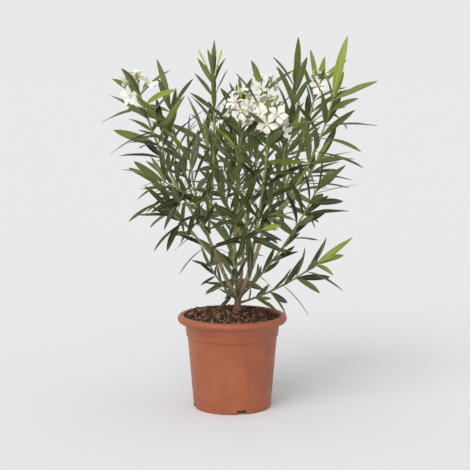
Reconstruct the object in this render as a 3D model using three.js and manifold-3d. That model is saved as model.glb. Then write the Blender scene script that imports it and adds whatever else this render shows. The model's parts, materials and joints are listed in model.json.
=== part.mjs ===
// A white-flowered oleander in a terracotta-coloured plastic pot, in millimetres, +Z up.
// The origin is the middle of the pot's flat underside. The front of the plant faces -Y.
// The pot, the soil, the trunk, each bough and each leafy shoot is one closed solid.
import * as THREE from "three";
import { mergeVertices } from "three/addons/utils/BufferGeometryUtils.js";
import Module from "manifold-3d";

const wasm = await Module();
wasm.setup();

// Driving dimensions of the pot
const POT_HEIGHT = 205;
const RIM_RADIUS = 120;
const RIM_HEIGHT = 17;
const RIM_MOUTH_RADIUS = 106;
const RIM_LIP = 4;
const RIM_ROLL_STEPS = 4;
const COLLAR_TOP_RADIUS = 103.5;
const COLLAR_FOOT_RADIUS = 101;
const COLLAR_HEIGHT = 29;
const COLLAR_STEP = 2;
const WALL_TOP_RADIUS = 98;
const FOOT_RADIUS = 85;
const WALL = 2.5;
const FLOOR = 3;
const FOOT_CHAMFER = 1.5;
const NOTCHES = 4;
const NOTCH_WIDTH = 26;
const NOTCH_TOP_WIDTH = 19;
const NOTCH_HEIGHT = 10;
const NOTCH_DEPTH = 15;
const FIRST_NOTCH_DEG = 14;
const POT_FACETS = 36;
const BEYOND = 10;

// Driving dimensions of the soil
const SOIL_EDGE_Z = 200;
const SOIL_TOP_Z = 213;
const SOIL_TOP_RADIUS = 30;
const SOIL_SLOPE_X = -0.035;
const SOIL_SLOPE_Y = 0.025;

// The gap left between pieces that touch, and the length under which an edge is collapsed
const CLEAR = 0.3;
const TINY = 0.06;

// The trunk stands a little right of the pot's middle and leans slightly. Its axis starts inside the
// soil, and the solid is cut flat at the soil's surface. It flares over a share of its length.
const TRUNK = {
  start: new THREE.Vector3(9, 0, 200),
  heading: 0,
  reach: 4,
  rise: 42,
  curl: 4,
  foot: 8.2,
  tip: 7,
  flare: 1.6,
  flareShare: 0.7,
};

// A limb leaves its parent's tip on a heading, in degrees from +X towards +Y, and ends reach out and
// rise up from there. It sets off flatter than its chord and ends steeper, by curl degrees in all. The
// foot and tip are its radii there.
const BOUGHS = {
  left_low: { parent: "trunk", heading: 166, reach: 41, rise: 75, curl: 22, foot: 4.7, tip: 4.1 },
  left_high: { parent: "left_low", heading: 169, reach: 27, rise: 59, curl: 8, foot: 3.9, tip: 3.5 },
  centre: { parent: "trunk", heading: 210, reach: 10, rise: 119, curl: 4, foot: 4.8, tip: 3.8 },
  right: { parent: "trunk", heading: 5, reach: 57, rise: 155, curl: 14, foot: 4.8, tip: 3.9 },
  back: { parent: "trunk", height: 36, heading: 78, reach: 63, rise: 125, curl: 24, foot: 4.4, tip: 3.6 },
  front: { parent: "trunk", height: 32, heading: 300, reach: 64, rise: 122, curl: 24, foot: 4.4, tip: 3.6 },
};

// A shoot also has its bare length, the length of its longest leaves, the number of side twigs, the
// spread of the leaves at its tip and the seed of its draws. Shoots on the trunk leave it at a height
// above its foot.
const ANY_SHOOT = { curl: 20, bare: 40, leaf: 118, twigs: 1, tipSpread: 48 };
const SHOOTS = {
  left_side: { parent: "left_low", heading: 197, reach: 140, rise: 194, bare: 50, leaf: 112, seed: 68 },
  left_flower: {
    parent: "left_high", heading: 202, reach: 158, rise: 326, bare: 60, leaf: 124,
    tipSpread: 62, seed: 43,
  },
  left_top: {
    parent: "left_high", heading: 332, reach: 14, rise: 348, curl: 10, leaf: 84,
    twigs: 0, tipSpread: 14, seed: 54,
  },
  left_back: { parent: "left_high", heading: 135, reach: 121, rise: 277, seed: 5 },
  left_front: { parent: "left_high", heading: 257, reach: 150, rise: 177, curl: 26, leaf: 112, seed: 18 },
  centre_flower: { parent: "centre", heading: 283, reach: 67, rise: 299, curl: 16, tipSpread: 62, seed: 9 },
  centre_top: {
    parent: "centre", heading: 80, reach: 70, rise: 292, curl: 12, bare: 50, leaf: 112, seed: 7,
  },
  front_flower: {
    parent: "front", heading: 288, reach: 102, rise: 296, leaf: 122, tipSpread: 62, seed: 13,
  },
  front_low: {
    parent: "front", heading: 261, reach: 137, rise: 110, curl: 26, leaf: 108, twigs: 0, seed: 18,
  },
  right_top: {
    parent: "right", heading: 354, reach: 148, rise: 286, curl: 30, bare: 60, leaf: 136,
    twigs: 0, tipSpread: 68, seed: 40,
  },
  right_head: {
    parent: "right", heading: 28, reach: 132, rise: 308, curl: 22, leaf: 112,
    twigs: 0, tipSpread: 38, seed: 27,
  },
  right_inner: {
    parent: "right", heading: 38, reach: 88, rise: 304, curl: 12, leaf: 116, tipSpread: 40, seed: 14,
  },
  right_side: {
    parent: "right", heading: 35, reach: 149, rise: 141, bare: 35, leaf: 112, twigs: 0, seed: 1,
  },
  back_flower: { parent: "back", heading: 59, reach: 79, rise: 334, curl: 16, leaf: 112, seed: 27 },
  back_left: { parent: "back", heading: 125, reach: 156, rise: 216, seed: 35 },
  back_right: { parent: "back", heading: 52, reach: 175, rise: 216, seed: 41 },
  right_mid: {
    parent: "trunk", height: 39, heading: 340, reach: 180, rise: 251, leaf: 109, twigs: 0, seed: 63,
  },
  right_low: {
    parent: "trunk", height: 29, heading: 347, reach: 173, rise: 92, leaf: 102, twigs: 0, seed: 44,
  },
  low_left: {
    parent: "trunk", height: 35, heading: 222, reach: 80, rise: 84, bare: 20, leaf: 62,
    twigs: 0, seed: 44,
  },
  low_back: {
    parent: "trunk", height: 31, heading: 96, reach: 170, rise: 140, leaf: 104, twigs: 0, seed: 77,
  },
  low_front: {
    parent: "trunk", height: 37, heading: 316, reach: 62, rise: 76, bare: 12, leaf: 66,
    twigs: 0, seed: 48,
  },
  low_middle: {
    parent: "trunk", height: 40, heading: 258, reach: 52, rise: 106, bare: 14, leaf: 76,
    twigs: 0, seed: 12,
  },
};

// The flowers and buds of the head at a shoot's tip, its neck above the last leaves, and the length of a
// bud with its stalk, where that isn't BUD_LENGTH. With no neck the last leaves may reach past the tip.
const HEADS = {
  left_flower: { flowers: 4, buds: 5, neck: 10 },
  left_top: { flowers: 0, buds: 4, neck: -10, bud: 80 },
  centre_flower: { flowers: 10, buds: 5, neck: 34 },
  front_flower: { flowers: 10, buds: 3, neck: 34 },
  right_head: { flowers: 3, buds: 3, neck: 8 },
  back_flower: { flowers: 4, buds: 4, neck: 14 },
};
const NO_HEAD = { flowers: 0, buds: 0, neck: -10 };

// How leaves stand on a shoot: whorls of three, closer, shorter and more upright towards the tip.
// A turn's draw is the half width of a seeded random step, in degrees, and a spread's draw is a share
// of it. A leaf rolls to look out of the crown.
const WHORL = 3;
const LOW_SPACING = 40;
const TIP_SPACING = 24;
const LOW_SPREAD = 84;
const SPREAD_DRAW = 0.36;
const TURN_DRAW = 12;
const LEAST_ROLL = -12;
const MOST_ROLL = 48;
const OUTWARD = 270;
const LOW_SAG = 0.4;
const TIP_SAG = 0.03;
const LONGEST_AT = 0.6;
const SHORTENING = 0.9;
const SHORTEST = 0.82;
const LEAST_BOW = 0.01;
const MOST_BOW = 0.06;
const LAST_WHORL = 0.985;

// The leaf that goes on in line with a shoot that ends in few flowers or none
const LEAD_SPREAD = 7;
const LEAD_SHARE = 1;
const LEAD_BOW = 0.02;
const LEAD_FLOWERS = 2;

// A leaf's sizes as shares of its length, and how deep its root sits in the stem
const LEAF_WIDTH = 0.16;
const LEAF_THICK = 0.015;
const LEAF_WIDEST = 0.45;
const ROOT_DEPTH = 0.9;

// A leaf that leaves its space is tried again, each time turned, more upright and shorter
const TRIES = 6;
const TRY_TURN = 9;
const TRY_SPREAD = 0.11;
const TRY_LENGTH = 0.06;
const SPACE_MARGIN = 1.2;
const LIMB_MARGIN = 4;
const RIM_MARGIN = 12;
const HANG_Z = 120;

// Stems and side twigs
const LIMB_STEPS = 5;
const STEM_FOOT_RADIUS = 4;
const STEM_TIP_RADIUS = 2.2;
const STEM_STEPS = 7;
const TWIG_LENGTH = 90;
const TWIG_LEAN = 40;
const TWIG_CURL = 10;
const TWIG_BARE = 34;
const TWIG_LOWEST = 0.25;
const TWIG_HIGHEST = 0.62;
const TWIG_DRAWS = 24;
const TWIG_LEAF_SHARE = 0.88;

// The flower heads: stalked flowers round the tip, with slender buds among them
const PETALS = 5;
const PETAL_NOTCH = 0.52;
const FLOWER_RADIUS = 24;
const FLOWER_DEPTH = 10;
const STALK = 35;
const STALK_RADIUS = 1.1;
const STALK_STEP = 0.012;
const FIRST_LEAN = 10;
const HEAD_LEAN = 84;
const HEAD_STEP = 30;
const HEAD_DRAW = 8;
const BUD_LEAST_LEAN = 14;
const BUD_MOST_LEAN = 42;
const BUD_LENGTH = 56;
const BUD_WIDTH = 6;
const BUD_WIDEST = 0.76;
const GOLDEN_TURN = 137.5;

const UP = new THREE.Vector3(0, 0, 1);

const MATERIALS = {
  plastic: new THREE.MeshStandardMaterial({ color: 0xab6549, roughness: 0.55, metalness: 0 }),
  soil: new THREE.MeshStandardMaterial({ color: 0x3d2b20, roughness: 0.95, metalness: 0 }),
  bark: new THREE.MeshStandardMaterial({ color: 0x7a6a52, roughness: 0.85, metalness: 0 }),
  leaf: new THREE.MeshStandardMaterial({ color: 0x4f6130, roughness: 0.5, metalness: 0 }),
};

const radians = THREE.MathUtils.degToRad;
const blend = THREE.MathUtils.lerp;

// Seeded draws, the same on every run
const DEAL_STEP = 1664525;
const DEAL_SHIFT = 1013904223;
const DEAL_SPREAD = 2654435761;
const DEAL_RANGE = 2 ** 32;

function dealer(seed) {
  let state = (seed * DEAL_SPREAD) % DEAL_RANGE;
  return (low, high) => {
    state = (DEAL_STEP * state + DEAL_SHIFT) % DEAL_RANGE;
    return low + ((high - low) * state) / DEAL_RANGE;
  };
}

// Solids and geometry
function solidOf(geometry) {
  const bare = geometry.clone();
  bare.deleteAttribute("normal");
  bare.deleteAttribute("uv");
  const merged = mergeVertices(bare, 1e-4);
  return new wasm.Manifold(
    new wasm.Mesh({
      numProp: 3,
      vertProperties: merged.attributes.position.array,
      triVerts: new Uint32Array(merged.index.array),
    }),
  );
}

function geometryOf(solid) {
  const mesh = solid.getMesh();
  const geometry = new THREE.BufferGeometry();
  geometry.setAttribute("position", new THREE.BufferAttribute(mesh.vertProperties, 3));
  geometry.setIndex(new THREE.BufferAttribute(mesh.triVerts, 1));
  geometry.computeVertexNormals();
  return geometry;
}

// The largest connected piece, without the tiny edges that joining leaves
function wholePiece(solid) {
  const larger = (best, piece) => (piece.volume() > best.volume() ? piece : best);
  return solid.decompose().reduce(larger).simplify(TINY);
}

function revolved(profile) {
  const points = profile.map(([radius, z]) => new THREE.Vector2(radius, z));
  return solidOf(new THREE.LatheGeometry(points, POT_FACETS).rotateX(Math.PI / 2));
}

function nodeMesh(name, solid, material) {
  const mesh = new THREE.Mesh(geometryOf(solid), material);
  mesh.name = name;
  return mesh;
}

// The pot: a tapering wall, a collar one step proud of it and a rolled rim
function potOuterProfile() {
  const rimFoot = POT_HEIGHT - RIM_HEIGHT;
  const roll = RIM_HEIGHT / 2;
  const points = [
    [0, 0],
    [FOOT_RADIUS - FOOT_CHAMFER, 0],
    [FOOT_RADIUS, FOOT_CHAMFER],
    [WALL_TOP_RADIUS, rimFoot - COLLAR_HEIGHT - COLLAR_STEP],
    [COLLAR_FOOT_RADIUS, rimFoot - COLLAR_HEIGHT],
    [COLLAR_TOP_RADIUS, rimFoot],
  ];
  for (let step = 0; step <= RIM_ROLL_STEPS; step++) {
    const turn = -Math.PI / 2 + (Math.PI * step) / RIM_ROLL_STEPS;
    points.push([
      RIM_RADIUS - roll + roll * Math.cos(turn),
      POT_HEIGHT - roll + roll * Math.sin(turn),
    ]);
  }
  return points;
}

function potInnerProfile(inset) {
  const rimFoot = POT_HEIGHT - RIM_HEIGHT;
  return [
    [FOOT_RADIUS - WALL - inset, FLOOR + inset],
    [WALL_TOP_RADIUS - WALL - inset, rimFoot - COLLAR_HEIGHT],
    [COLLAR_TOP_RADIUS - WALL - inset, rimFoot],
    [RIM_MOUTH_RADIUS - inset, POT_HEIGHT - RIM_LIP],
  ];
}

// A block that reaches in from the foot of the wall, wider by extra on every side
function notchBlock(index, extra) {
  const outline = new THREE.Shape();
  outline.moveTo(-NOTCH_WIDTH / 2 - extra, -BEYOND);
  outline.lineTo(NOTCH_WIDTH / 2 + extra, -BEYOND);
  outline.lineTo(NOTCH_TOP_WIDTH / 2 + extra, NOTCH_HEIGHT + extra);
  outline.lineTo(-NOTCH_TOP_WIDTH / 2 - extra, NOTCH_HEIGHT + extra);
  const depth = NOTCH_DEPTH + extra + BEYOND;
  const block = new THREE.ExtrudeGeometry(outline, { depth, bevelEnabled: false });
  block.rotateX(Math.PI / 2);
  block.translate(0, -(FOOT_RADIUS - NOTCH_DEPTH - extra), 0);
  block.rotateZ(radians(FIRST_NOTCH_DEG + (index * 360) / NOTCHES));
  return solidOf(block);
}

function makePot() {
  const outer = potOuterProfile();
  const inner = potInnerProfile(0);
  const body = revolved([...outer, [0, POT_HEIGHT]]);
  let pot = revolved([...outer, ...inner.toReversed(), [0, FLOOR]]);
  for (let i = 0; i < NOTCHES; i++) {
    pot = pot.add(notchBlock(i, WALL).intersect(body));
    pot = pot.subtract(notchBlock(i, 0));
  }
  return nodeMesh("pot", pot, MATERIALS.plastic);
}

// All that lies below the soil's surface, raised by a gap. The surface rises to a flat top round the
// trunk, and the whole of it slopes a little.
function ground(gap) {
  const fall = (SOIL_TOP_Z - SOIL_EDGE_Z) / (RIM_MOUTH_RADIUS - SOIL_TOP_RADIUS);
  const points = [
    [0, -BEYOND],
    [2 * RIM_RADIUS, -BEYOND],
    [2 * RIM_RADIUS, SOIL_TOP_Z - fall * (2 * RIM_RADIUS - SOIL_TOP_RADIUS)],
    [SOIL_TOP_RADIUS, SOIL_TOP_Z],
    [0, SOIL_TOP_Z],
  ].map(([radius, z]) => new THREE.Vector2(radius, z));
  const geometry = new THREE.LatheGeometry(points, POT_FACETS).rotateX(Math.PI / 2);
  geometry.applyMatrix4(new THREE.Matrix4().makeShear(0, SOIL_SLOPE_X, 0, SOIL_SLOPE_Y, 0, 0));
  return solidOf(geometry.translate(0, 0, gap));
}

// Compost fills the pot nearly to the rim
function makeSoil() {
  const [foot, wallTop, collar, mouth] = potInnerProfile(CLEAR);
  const top = POT_HEIGHT + BEYOND;
  let soil = revolved([[0, foot[1]], foot, wallTop, collar, mouth, [mouth[0], top], [0, top]]);
  soil = soil.intersect(ground(0));
  for (let i = 0; i < NOTCHES; i++) {
    soil = soil.subtract(notchBlock(i, WALL + CLEAR));
  }
  return nodeMesh("soil", soil, MATERIALS.soil);
}

// A limb's path is a quadratic curve in a vertical plane
function limbPath(start, size) {
  const heading = radians(size.heading);
  const out = new THREE.Vector3(Math.cos(heading), Math.sin(heading), 0);
  const chord = out.clone().multiplyScalar(size.reach).addScaledVector(UP, size.rise);
  const length = chord.length();
  const below = out.clone().multiplyScalar(size.rise).addScaledVector(UP, -size.reach).normalize();
  const sag = (length / 2) * Math.tan(radians(size.curl) / 2);
  const end = start.clone().add(chord);
  const control = start.clone().addScaledVector(chord, 0.5).addScaledVector(below, sag);
  const side = new THREE.Vector3(-out.y, out.x, 0);
  return { curve: new THREE.QuadraticBezierCurve3(start, control, end), side, length };
}

function tangentOf({ curve }, t) {
  return curve.v1.clone().sub(curve.v0).multiplyScalar(1 - t)
    .addScaledVector(curve.v2.clone().sub(curve.v1), t).normalize();
}

// A cylinder bent along a path, its radius a function of the place along it. The margin makes it
// thicker and longer all round.
function limbSolid(path, radiusAt, sides, steps, margin = 0) {
  const geometry = new THREE.CylinderGeometry(1, 1, 1, sides, steps);
  const place = geometry.attributes.position;
  const stretch = 1 + (2 * margin) / path.length;
  for (let i = 0; i < place.count; i++) {
    const t = place.getY(i) * stretch + 0.5;
    const along = tangentOf(path, t);
    const across = new THREE.Vector3().crossVectors(along, path.side);
    const radius = radiusAt(t) + margin;
    const point = path.curve.getPoint(t)
      .addScaledVector(path.side, place.getZ(i) * radius)
      .addScaledVector(across, place.getX(i) * radius);
    place.setXYZ(i, point.x, point.y, point.z);
  }
  return solidOf(geometry);
}

// Paths of the trunk, the boughs and the shoots, by name
const LIMBS = ["trunk", ...Object.keys(BOUGHS)];
const SHOOT_NAMES = Object.keys(SHOOTS);
const PATHS = { trunk: limbPath(TRUNK.start, TRUNK) };
for (const [name, size] of Object.entries({ ...BOUGHS, ...SHOOTS })) {
  const parent = PATHS[size.parent].curve;
  const start = size.height ? parent.getPoint(size.height / TRUNK.rise) : parent.v2.clone();
  PATHS[name] = limbPath(start, { ...ANY_SHOOT, ...size });
}

// The trunk flares over a share of its length
function trunkRadius(t) {
  const flare = (TRUNK.flare - 1) * Math.max(0, 1 - t / TRUNK.flareShare) ** 2;
  return blend(TRUNK.foot, TRUNK.tip, t) * (1 + flare);
}

function taper(size) {
  return (t) => blend(size.foot, size.tip, t);
}

function limbWithMargin(name, margin) {
  const trunk = name === "trunk";
  const radiusAt = trunk ? trunkRadius : taper(BOUGHS[name]);
  return limbSolid(PATHS[name], radiusAt, trunk ? 10 : 7, LIMB_STEPS, margin);
}

// Boughs meet their parent and the boughs beside them with a small gap
function makeLimbs() {
  return LIMBS.map((name, index) => {
    let solid = limbWithMargin(name, 0);
    for (const other of LIMBS.slice(0, index)) {
      solid = solid.subtract(limbWithMargin(other, CLEAR));
    }
    const title = name === "trunk" ? name : `bough_${name}`;
    return nodeMesh(title, wholePiece(solid.subtract(ground(CLEAR))), MATERIALS.bark);
  });
}

// Each shoot's space is all that lies nearer to its own stem than to any other
const AXIS_STEPS = 12;

function axisOf(path) {
  return Array.from({ length: AXIS_STEPS + 1 }, (_, i) => path.curve.getPoint(i / AXIS_STEPS));
}

const SHOOT_AXES = SHOOT_NAMES.map((name) => axisOf(PATHS[name]));
const LIMB_AXES = LIMBS.map((name) => ({
  points: axisOf(PATHS[name]),
  radius: name === "trunk" ? TRUNK.foot : BOUGHS[name].foot,
}));

function distanceTo(points, place) {
  let least = Infinity;
  const span = new THREE.Line3();
  const nearest = new THREE.Vector3();
  for (let i = 1; i < points.length; i++) {
    span.set(points[i - 1], points[i]).closestPointToPoint(place, true, nearest);
    least = Math.min(least, nearest.distanceTo(place));
  }
  return least;
}

function inOwnSpace(name, place) {
  const index = SHOOT_NAMES.indexOf(name);
  const own = distanceTo(SHOOT_AXES[index], place) + SPACE_MARGIN;
  return SHOOT_AXES.every((axis, other) => other === index || distanceTo(axis, place) > own);
}

function clearOfLimbs(place) {
  return LIMB_AXES.every(({ points, radius }) => distanceTo(points, place) > radius + LIMB_MARGIN);
}

// A leaf stays above the rim, or hangs outside it down to a height
function clearOfPot(place) {
  const outside = Math.hypot(place.x, place.y) > RIM_RADIUS + RIM_MARGIN;
  return place.z > (outside ? HANG_Z : POT_HEIGHT + RIM_MARGIN);
}

// A leaf: its root, the way it points, the way its upper face looks, and its sizes
function leafAt(root, along, stem, { length, bow, roll }) {
  const facing = stem.clone().addScaledVector(along, -stem.dot(along)).normalize();
  const fromTrunk = root.clone().sub(PATHS.trunk.curve.v2);
  const outward = new THREE.Vector3().crossVectors(along, facing).dot(fromTrunk);
  facing.applyAxisAngle(along, radians(outward > 0 ? roll : -roll));
  const side = new THREE.Vector3().crossVectors(along, facing);
  return { root, along, facing, side, length, bow };
}

function alongLeaf(leaf, t) {
  return leaf.root.clone()
    .addScaledVector(leaf.along, leaf.length * t)
    .addScaledVector(leaf.facing, leaf.bow * leaf.length * 4 * t * (1 - t));
}

function leafFits(name, leaf) {
  const half = (leaf.length * LEAF_WIDTH) / 2;
  const middle = alongLeaf(leaf, 0.5);
  const places = [0.25, 0.4, 0.6, 0.8, 1].map((t) => alongLeaf(leaf, t));
  places.push(middle.clone().addScaledVector(leaf.side, half));
  places.push(middle.clone().addScaledVector(leaf.side, -half));
  return places.every(
    (place) => clearOfPot(place) && clearOfLimbs(place) && inOwnSpace(name, place),
  );
}

// Tries a leaf further round, more upright and shorter until it fits its space
function fittedLeaf(name, path, wanted) {
  const stem = tangentOf(path, wanted.t);
  const root = path.curve.getPoint(wanted.t);
  for (let attempt = 0; attempt < TRIES; attempt++) {
    const turn = wanted.turn + (attempt % 2 ? 1 : -1) * TRY_TURN * attempt;
    const spread = wanted.spread * (1 - TRY_SPREAD * attempt);
    const length = wanted.length * (1 - TRY_LENGTH * attempt);
    const along = besideStem(path, wanted.t, spread, turn);
    along.addScaledVector(UP, -wanted.sag).normalize();
    const leaf = leafAt(root, along, stem, { ...wanted, length });
    if (leafFits(name, leaf)) {
      return leaf;
    }
  }
  return null;
}

// The whorls along a stem or twig. A leaf of every other whorl looks straight outward.
function leavesOn(name, path, longest, bare, draw) {
  const { tipSpread } = { ...ANY_SHOOT, ...SHOOTS[name] };
  const head = HEADS[name] ?? NO_HEAD;
  const last = path.length - (path === PATHS[name] ? head : NO_HEAD).neck;
  const wanted = [];
  let place = bare;
  for (let whorl = 0; place < last; whorl++) {
    const t = Math.min(LAST_WHORL, place / path.length);
    for (let i = 0; i < WHORL; i++) {
      wanted.push({
        t,
        turn: OUTWARD + (360 / WHORL) * (i + whorl / 2) + draw(-TURN_DRAW, TURN_DRAW),
        spread: blend(LOW_SPREAD, tipSpread, t * t) * draw(1 - SPREAD_DRAW, 1 + SPREAD_DRAW),
        sag: blend(LOW_SAG, TIP_SAG, t) * draw(0.4, 1),
        length: longest * (1 - SHORTENING * (t - LONGEST_AT) ** 2) * draw(SHORTEST, 1),
        bow: draw(LEAST_BOW, MOST_BOW),
        roll: draw(LEAST_ROLL, MOST_ROLL),
      });
    }
    place += blend(LOW_SPACING, TIP_SPACING, t);
  }
  if (head.flowers <= LEAD_FLOWERS) {
    const lead = { t: LAST_WHORL, turn: 0, spread: LEAD_SPREAD, sag: 0, bow: LEAD_BOW, roll: 0 };
    wanted.push({ ...lead, length: longest * LEAD_SHARE });
  }
  return wanted.map((leaf) => fittedLeaf(name, path, leaf)).filter((leaf) => leaf);
}

// A side twig leaves the stem at a place along it and leans away from it
function twigPath(path, t, draw) {
  const along = besideStem(path, t, TWIG_LEAN, draw(0, 360));
  return limbPath(path.curve.getPoint(t), {
    heading: THREE.MathUtils.radToDeg(Math.atan2(along.y, along.x)),
    reach: Math.hypot(along.x, along.y) * TWIG_LENGTH,
    rise: along.z * TWIG_LENGTH,
    curl: TWIG_CURL,
  });
}

// Whether a new twig's end is well away from the ends of the twigs before it
function apart(twigs, end) {
  return twigs.every((twig) => twig.curve.v2.distanceTo(end) > TWIG_LENGTH);
}

// Everything that grows on a shoot: its twigs, its leaves and the head at its tip
function growShoot(name) {
  const size = { ...ANY_SHOOT, ...SHOOTS[name] };
  const path = PATHS[name];
  const draw = dealer(size.seed);
  const leaves = leavesOn(name, path, size.leaf, size.bare, draw);
  const twigs = [];
  for (let i = 0; i < TWIG_DRAWS && twigs.length < size.twigs; i++) {
    const twig = twigPath(path, draw(TWIG_LOWEST, TWIG_HIGHEST), draw);
    const end = twig.curve.v2;
    if (inOwnSpace(name, end) && clearOfLimbs(end) && apart(twigs, end)) {
      twigs.push(twig);
      leaves.push(...leavesOn(name, twig, size.leaf * TWIG_LEAF_SHARE, TWIG_BARE, draw));
    }
  }
  return { path, twigs, leaves, head: headOf(HEADS[name], path, draw) };
}

// Flowers stand in a ring round the first one, and buds lean up between them
function headOf(head, path, draw) {
  if (!head) {
    return [];
  }
  const phase = draw(0, 360);
  return Array.from({ length: head.flowers + head.buds }, (_, i) => {
    const open = i < head.flowers;
    const ringLean = HEAD_LEAN - HEAD_STEP * (i % 2);
    const lean = open ? ringLean + draw(-HEAD_DRAW, HEAD_DRAW) : draw(BUD_LEAST_LEAN, BUD_MOST_LEAN);
    const turn = open ? (360 * i) / (head.flowers - 1) : GOLDEN_TURN * i;
    const t = LAST_WHORL - STALK_STEP * (open ? i : i - head.flowers);
    const along = besideStem(path, t, open && i === 0 ? FIRST_LEAN : lean, phase + turn);
    const length = open ? STALK * draw(0.9, 1.15) : (head.bud ?? BUD_LENGTH) * draw(0.8, 1);
    return { open, root: path.curve.getPoint(t), along, length };
  });
}

// A direction that leans from the stem's own, turned round the stem, both in degrees
function besideStem(path, t, lean, turn) {
  const stem = tangentOf(path, t);
  const across = new THREE.Vector3().crossVectors(stem, path.side);
  const out = Math.sin(radians(lean));
  return stem.multiplyScalar(Math.cos(radians(lean)))
    .addScaledVector(path.side, Math.cos(radians(turn)) * out)
    .addScaledVector(across, Math.sin(radians(turn)) * out);
}

// A blade or spindle of six faces, widest at a share of its length, its root sunk into the stem
function spindleSolid(leaf, widest, width, thick) {
  const geometry = new THREE.SphereGeometry(1, 3, 2);
  const place = geometry.attributes.position;
  const sunk = -ROOT_DEPTH / leaf.length;
  for (let i = 0; i < place.count; i++) {
    const end = place.getY(i);
    const t = end > 0.5 ? 1 : end < -0.5 ? sunk : widest;
    const point = alongLeaf(leaf, t)
      .addScaledVector(leaf.side, (-place.getZ(i) / Math.sqrt(0.75)) * (width / 2))
      .addScaledVector(leaf.facing, (place.getX(i) / 1.5) * thick);
    place.setXYZ(i, point.x, point.y, point.z);
  }
  return solidOf(geometry);
}

function leafSolid(leaf) {
  return spindleSolid(leaf, LEAF_WIDEST, leaf.length * LEAF_WIDTH, leaf.length * LEAF_THICK);
}

function turnedTo(geometry, along, place) {
  geometry.applyQuaternion(new THREE.Quaternion().setFromUnitVectors(UP, along));
  return geometry.translate(place.x, place.y, place.z);
}

// Petals as a cone with every other point of its edge drawn in, on a thin stalk
function flowerSolid(bloom) {
  const stalk = new THREE.CylinderGeometry(STALK_RADIUS, STALK_RADIUS, bloom.length, 3);
  stalk.rotateX(Math.PI / 2).translate(0, 0, bloom.length / 2);
  const cone = new THREE.ConeGeometry(FLOWER_RADIUS, FLOWER_DEPTH, 2 * PETALS);
  const place = cone.attributes.position;
  for (let i = 0; i < place.count; i++) {
    const step = Math.round((Math.atan2(place.getZ(i), place.getX(i)) * PETALS) / Math.PI + 0.5);
    const share = step % 2 ? PETAL_NOTCH : 1;
    place.setXYZ(i, place.getX(i) * share, place.getY(i), place.getZ(i) * share);
  }
  cone.rotateX(-Math.PI / 2).translate(0, 0, bloom.length);
  return solidOf(turnedTo(stalk, bloom.along, bloom.root))
    .add(solidOf(turnedTo(cone, bloom.along, bloom.root)));
}

function budSolid(bloom, path) {
  const bud = leafAt(bloom.root, bloom.along, path.side, { length: bloom.length, bow: 0, roll: 0 });
  return spindleSolid(bud, BUD_WIDEST, BUD_WIDTH, BUD_WIDTH);
}

function stemRadius(t) {
  return blend(STEM_FOOT_RADIUS, STEM_TIP_RADIUS, t);
}

function stemSolid(name, margin) {
  return limbSolid(PATHS[name], stemRadius, 3, STEM_STEPS, margin);
}

// A shoot's solid: its stem with all that grows on it, cut clear of the limbs and the stems before it
function makeShoots() {
  return SHOOT_NAMES.map((name, index) => {
    const { path, twigs, leaves, head } = growShoot(name);
    const parts = [
      ...twigs.map((twig) => limbSolid(twig, () => STEM_TIP_RADIUS, 3, 2)),
      ...leaves.map(leafSolid),
      ...head.map((bloom) => (bloom.open ? flowerSolid(bloom) : budSolid(bloom, path))),
    ];
    const whole = parts.reduce((solid, part) => solid.add(part), stemSolid(name, 0));
    const others = [
      ...LIMBS.map((limb) => limbWithMargin(limb, CLEAR)),
      ...SHOOT_NAMES.slice(0, index).map((other) => stemSolid(other, CLEAR)),
    ];
    const cleared = others.reduce((solid, other) => solid.subtract(other), whole);
    return nodeMesh(`foliage_${name}`, wholePiece(cleared), MATERIALS.leaf);
  });
}

const oleander = new THREE.Group();
oleander.add(makePot(), makeSoil(), ...makeLimbs(), ...makeShoots());

export default oleander;
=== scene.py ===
"""A white-flowered oleander in a terracotta-coloured plastic pot.

Sizes are in millimetres in the plant's own frame, +Z up, and become metres as each mesh is made.
"""
import json
import math
from collections import namedtuple

import bpy
import numpy as np
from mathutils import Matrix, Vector, noise

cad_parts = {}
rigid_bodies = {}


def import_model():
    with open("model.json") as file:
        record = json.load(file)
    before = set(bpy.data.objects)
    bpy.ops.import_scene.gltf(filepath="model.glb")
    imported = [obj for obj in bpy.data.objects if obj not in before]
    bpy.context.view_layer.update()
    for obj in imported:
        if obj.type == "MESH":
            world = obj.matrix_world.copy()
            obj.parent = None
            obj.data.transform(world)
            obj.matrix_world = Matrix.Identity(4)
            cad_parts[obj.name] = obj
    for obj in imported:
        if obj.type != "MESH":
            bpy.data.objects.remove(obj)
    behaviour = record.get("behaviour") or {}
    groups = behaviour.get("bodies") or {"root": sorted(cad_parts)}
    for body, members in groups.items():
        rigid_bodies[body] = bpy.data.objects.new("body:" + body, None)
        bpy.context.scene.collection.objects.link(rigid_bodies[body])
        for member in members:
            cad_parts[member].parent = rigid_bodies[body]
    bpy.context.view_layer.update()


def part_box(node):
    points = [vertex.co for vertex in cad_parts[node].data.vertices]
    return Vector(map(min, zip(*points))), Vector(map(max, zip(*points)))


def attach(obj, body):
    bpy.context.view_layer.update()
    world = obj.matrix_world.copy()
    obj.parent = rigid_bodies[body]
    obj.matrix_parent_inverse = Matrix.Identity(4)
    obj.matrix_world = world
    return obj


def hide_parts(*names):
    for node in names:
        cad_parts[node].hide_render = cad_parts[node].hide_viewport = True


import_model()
MM = 0.001
BODY = "root"

# The camera stands in front of the plant and looks slightly down on it
CAMERA_PLACE = (6, -2700, 720)
CAMERA_PITCH = 7.18
SENSOR = 36
FOCAL = 95.67

# Studio light: an even surround, one soft key from above the camera's left and one fill
SURROUND = (0.813, 0.815, 0.821)
KEY = dict(strength=1.7, angle=40, turn=(46, 0, -30))
FILL = dict(strength=0.6, angle=60, turn=(74, 0, -5))
FLOOR_SIDE = 900000
FLOOR_COLOUR = (211.37, 211.66, 212.23)

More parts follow.
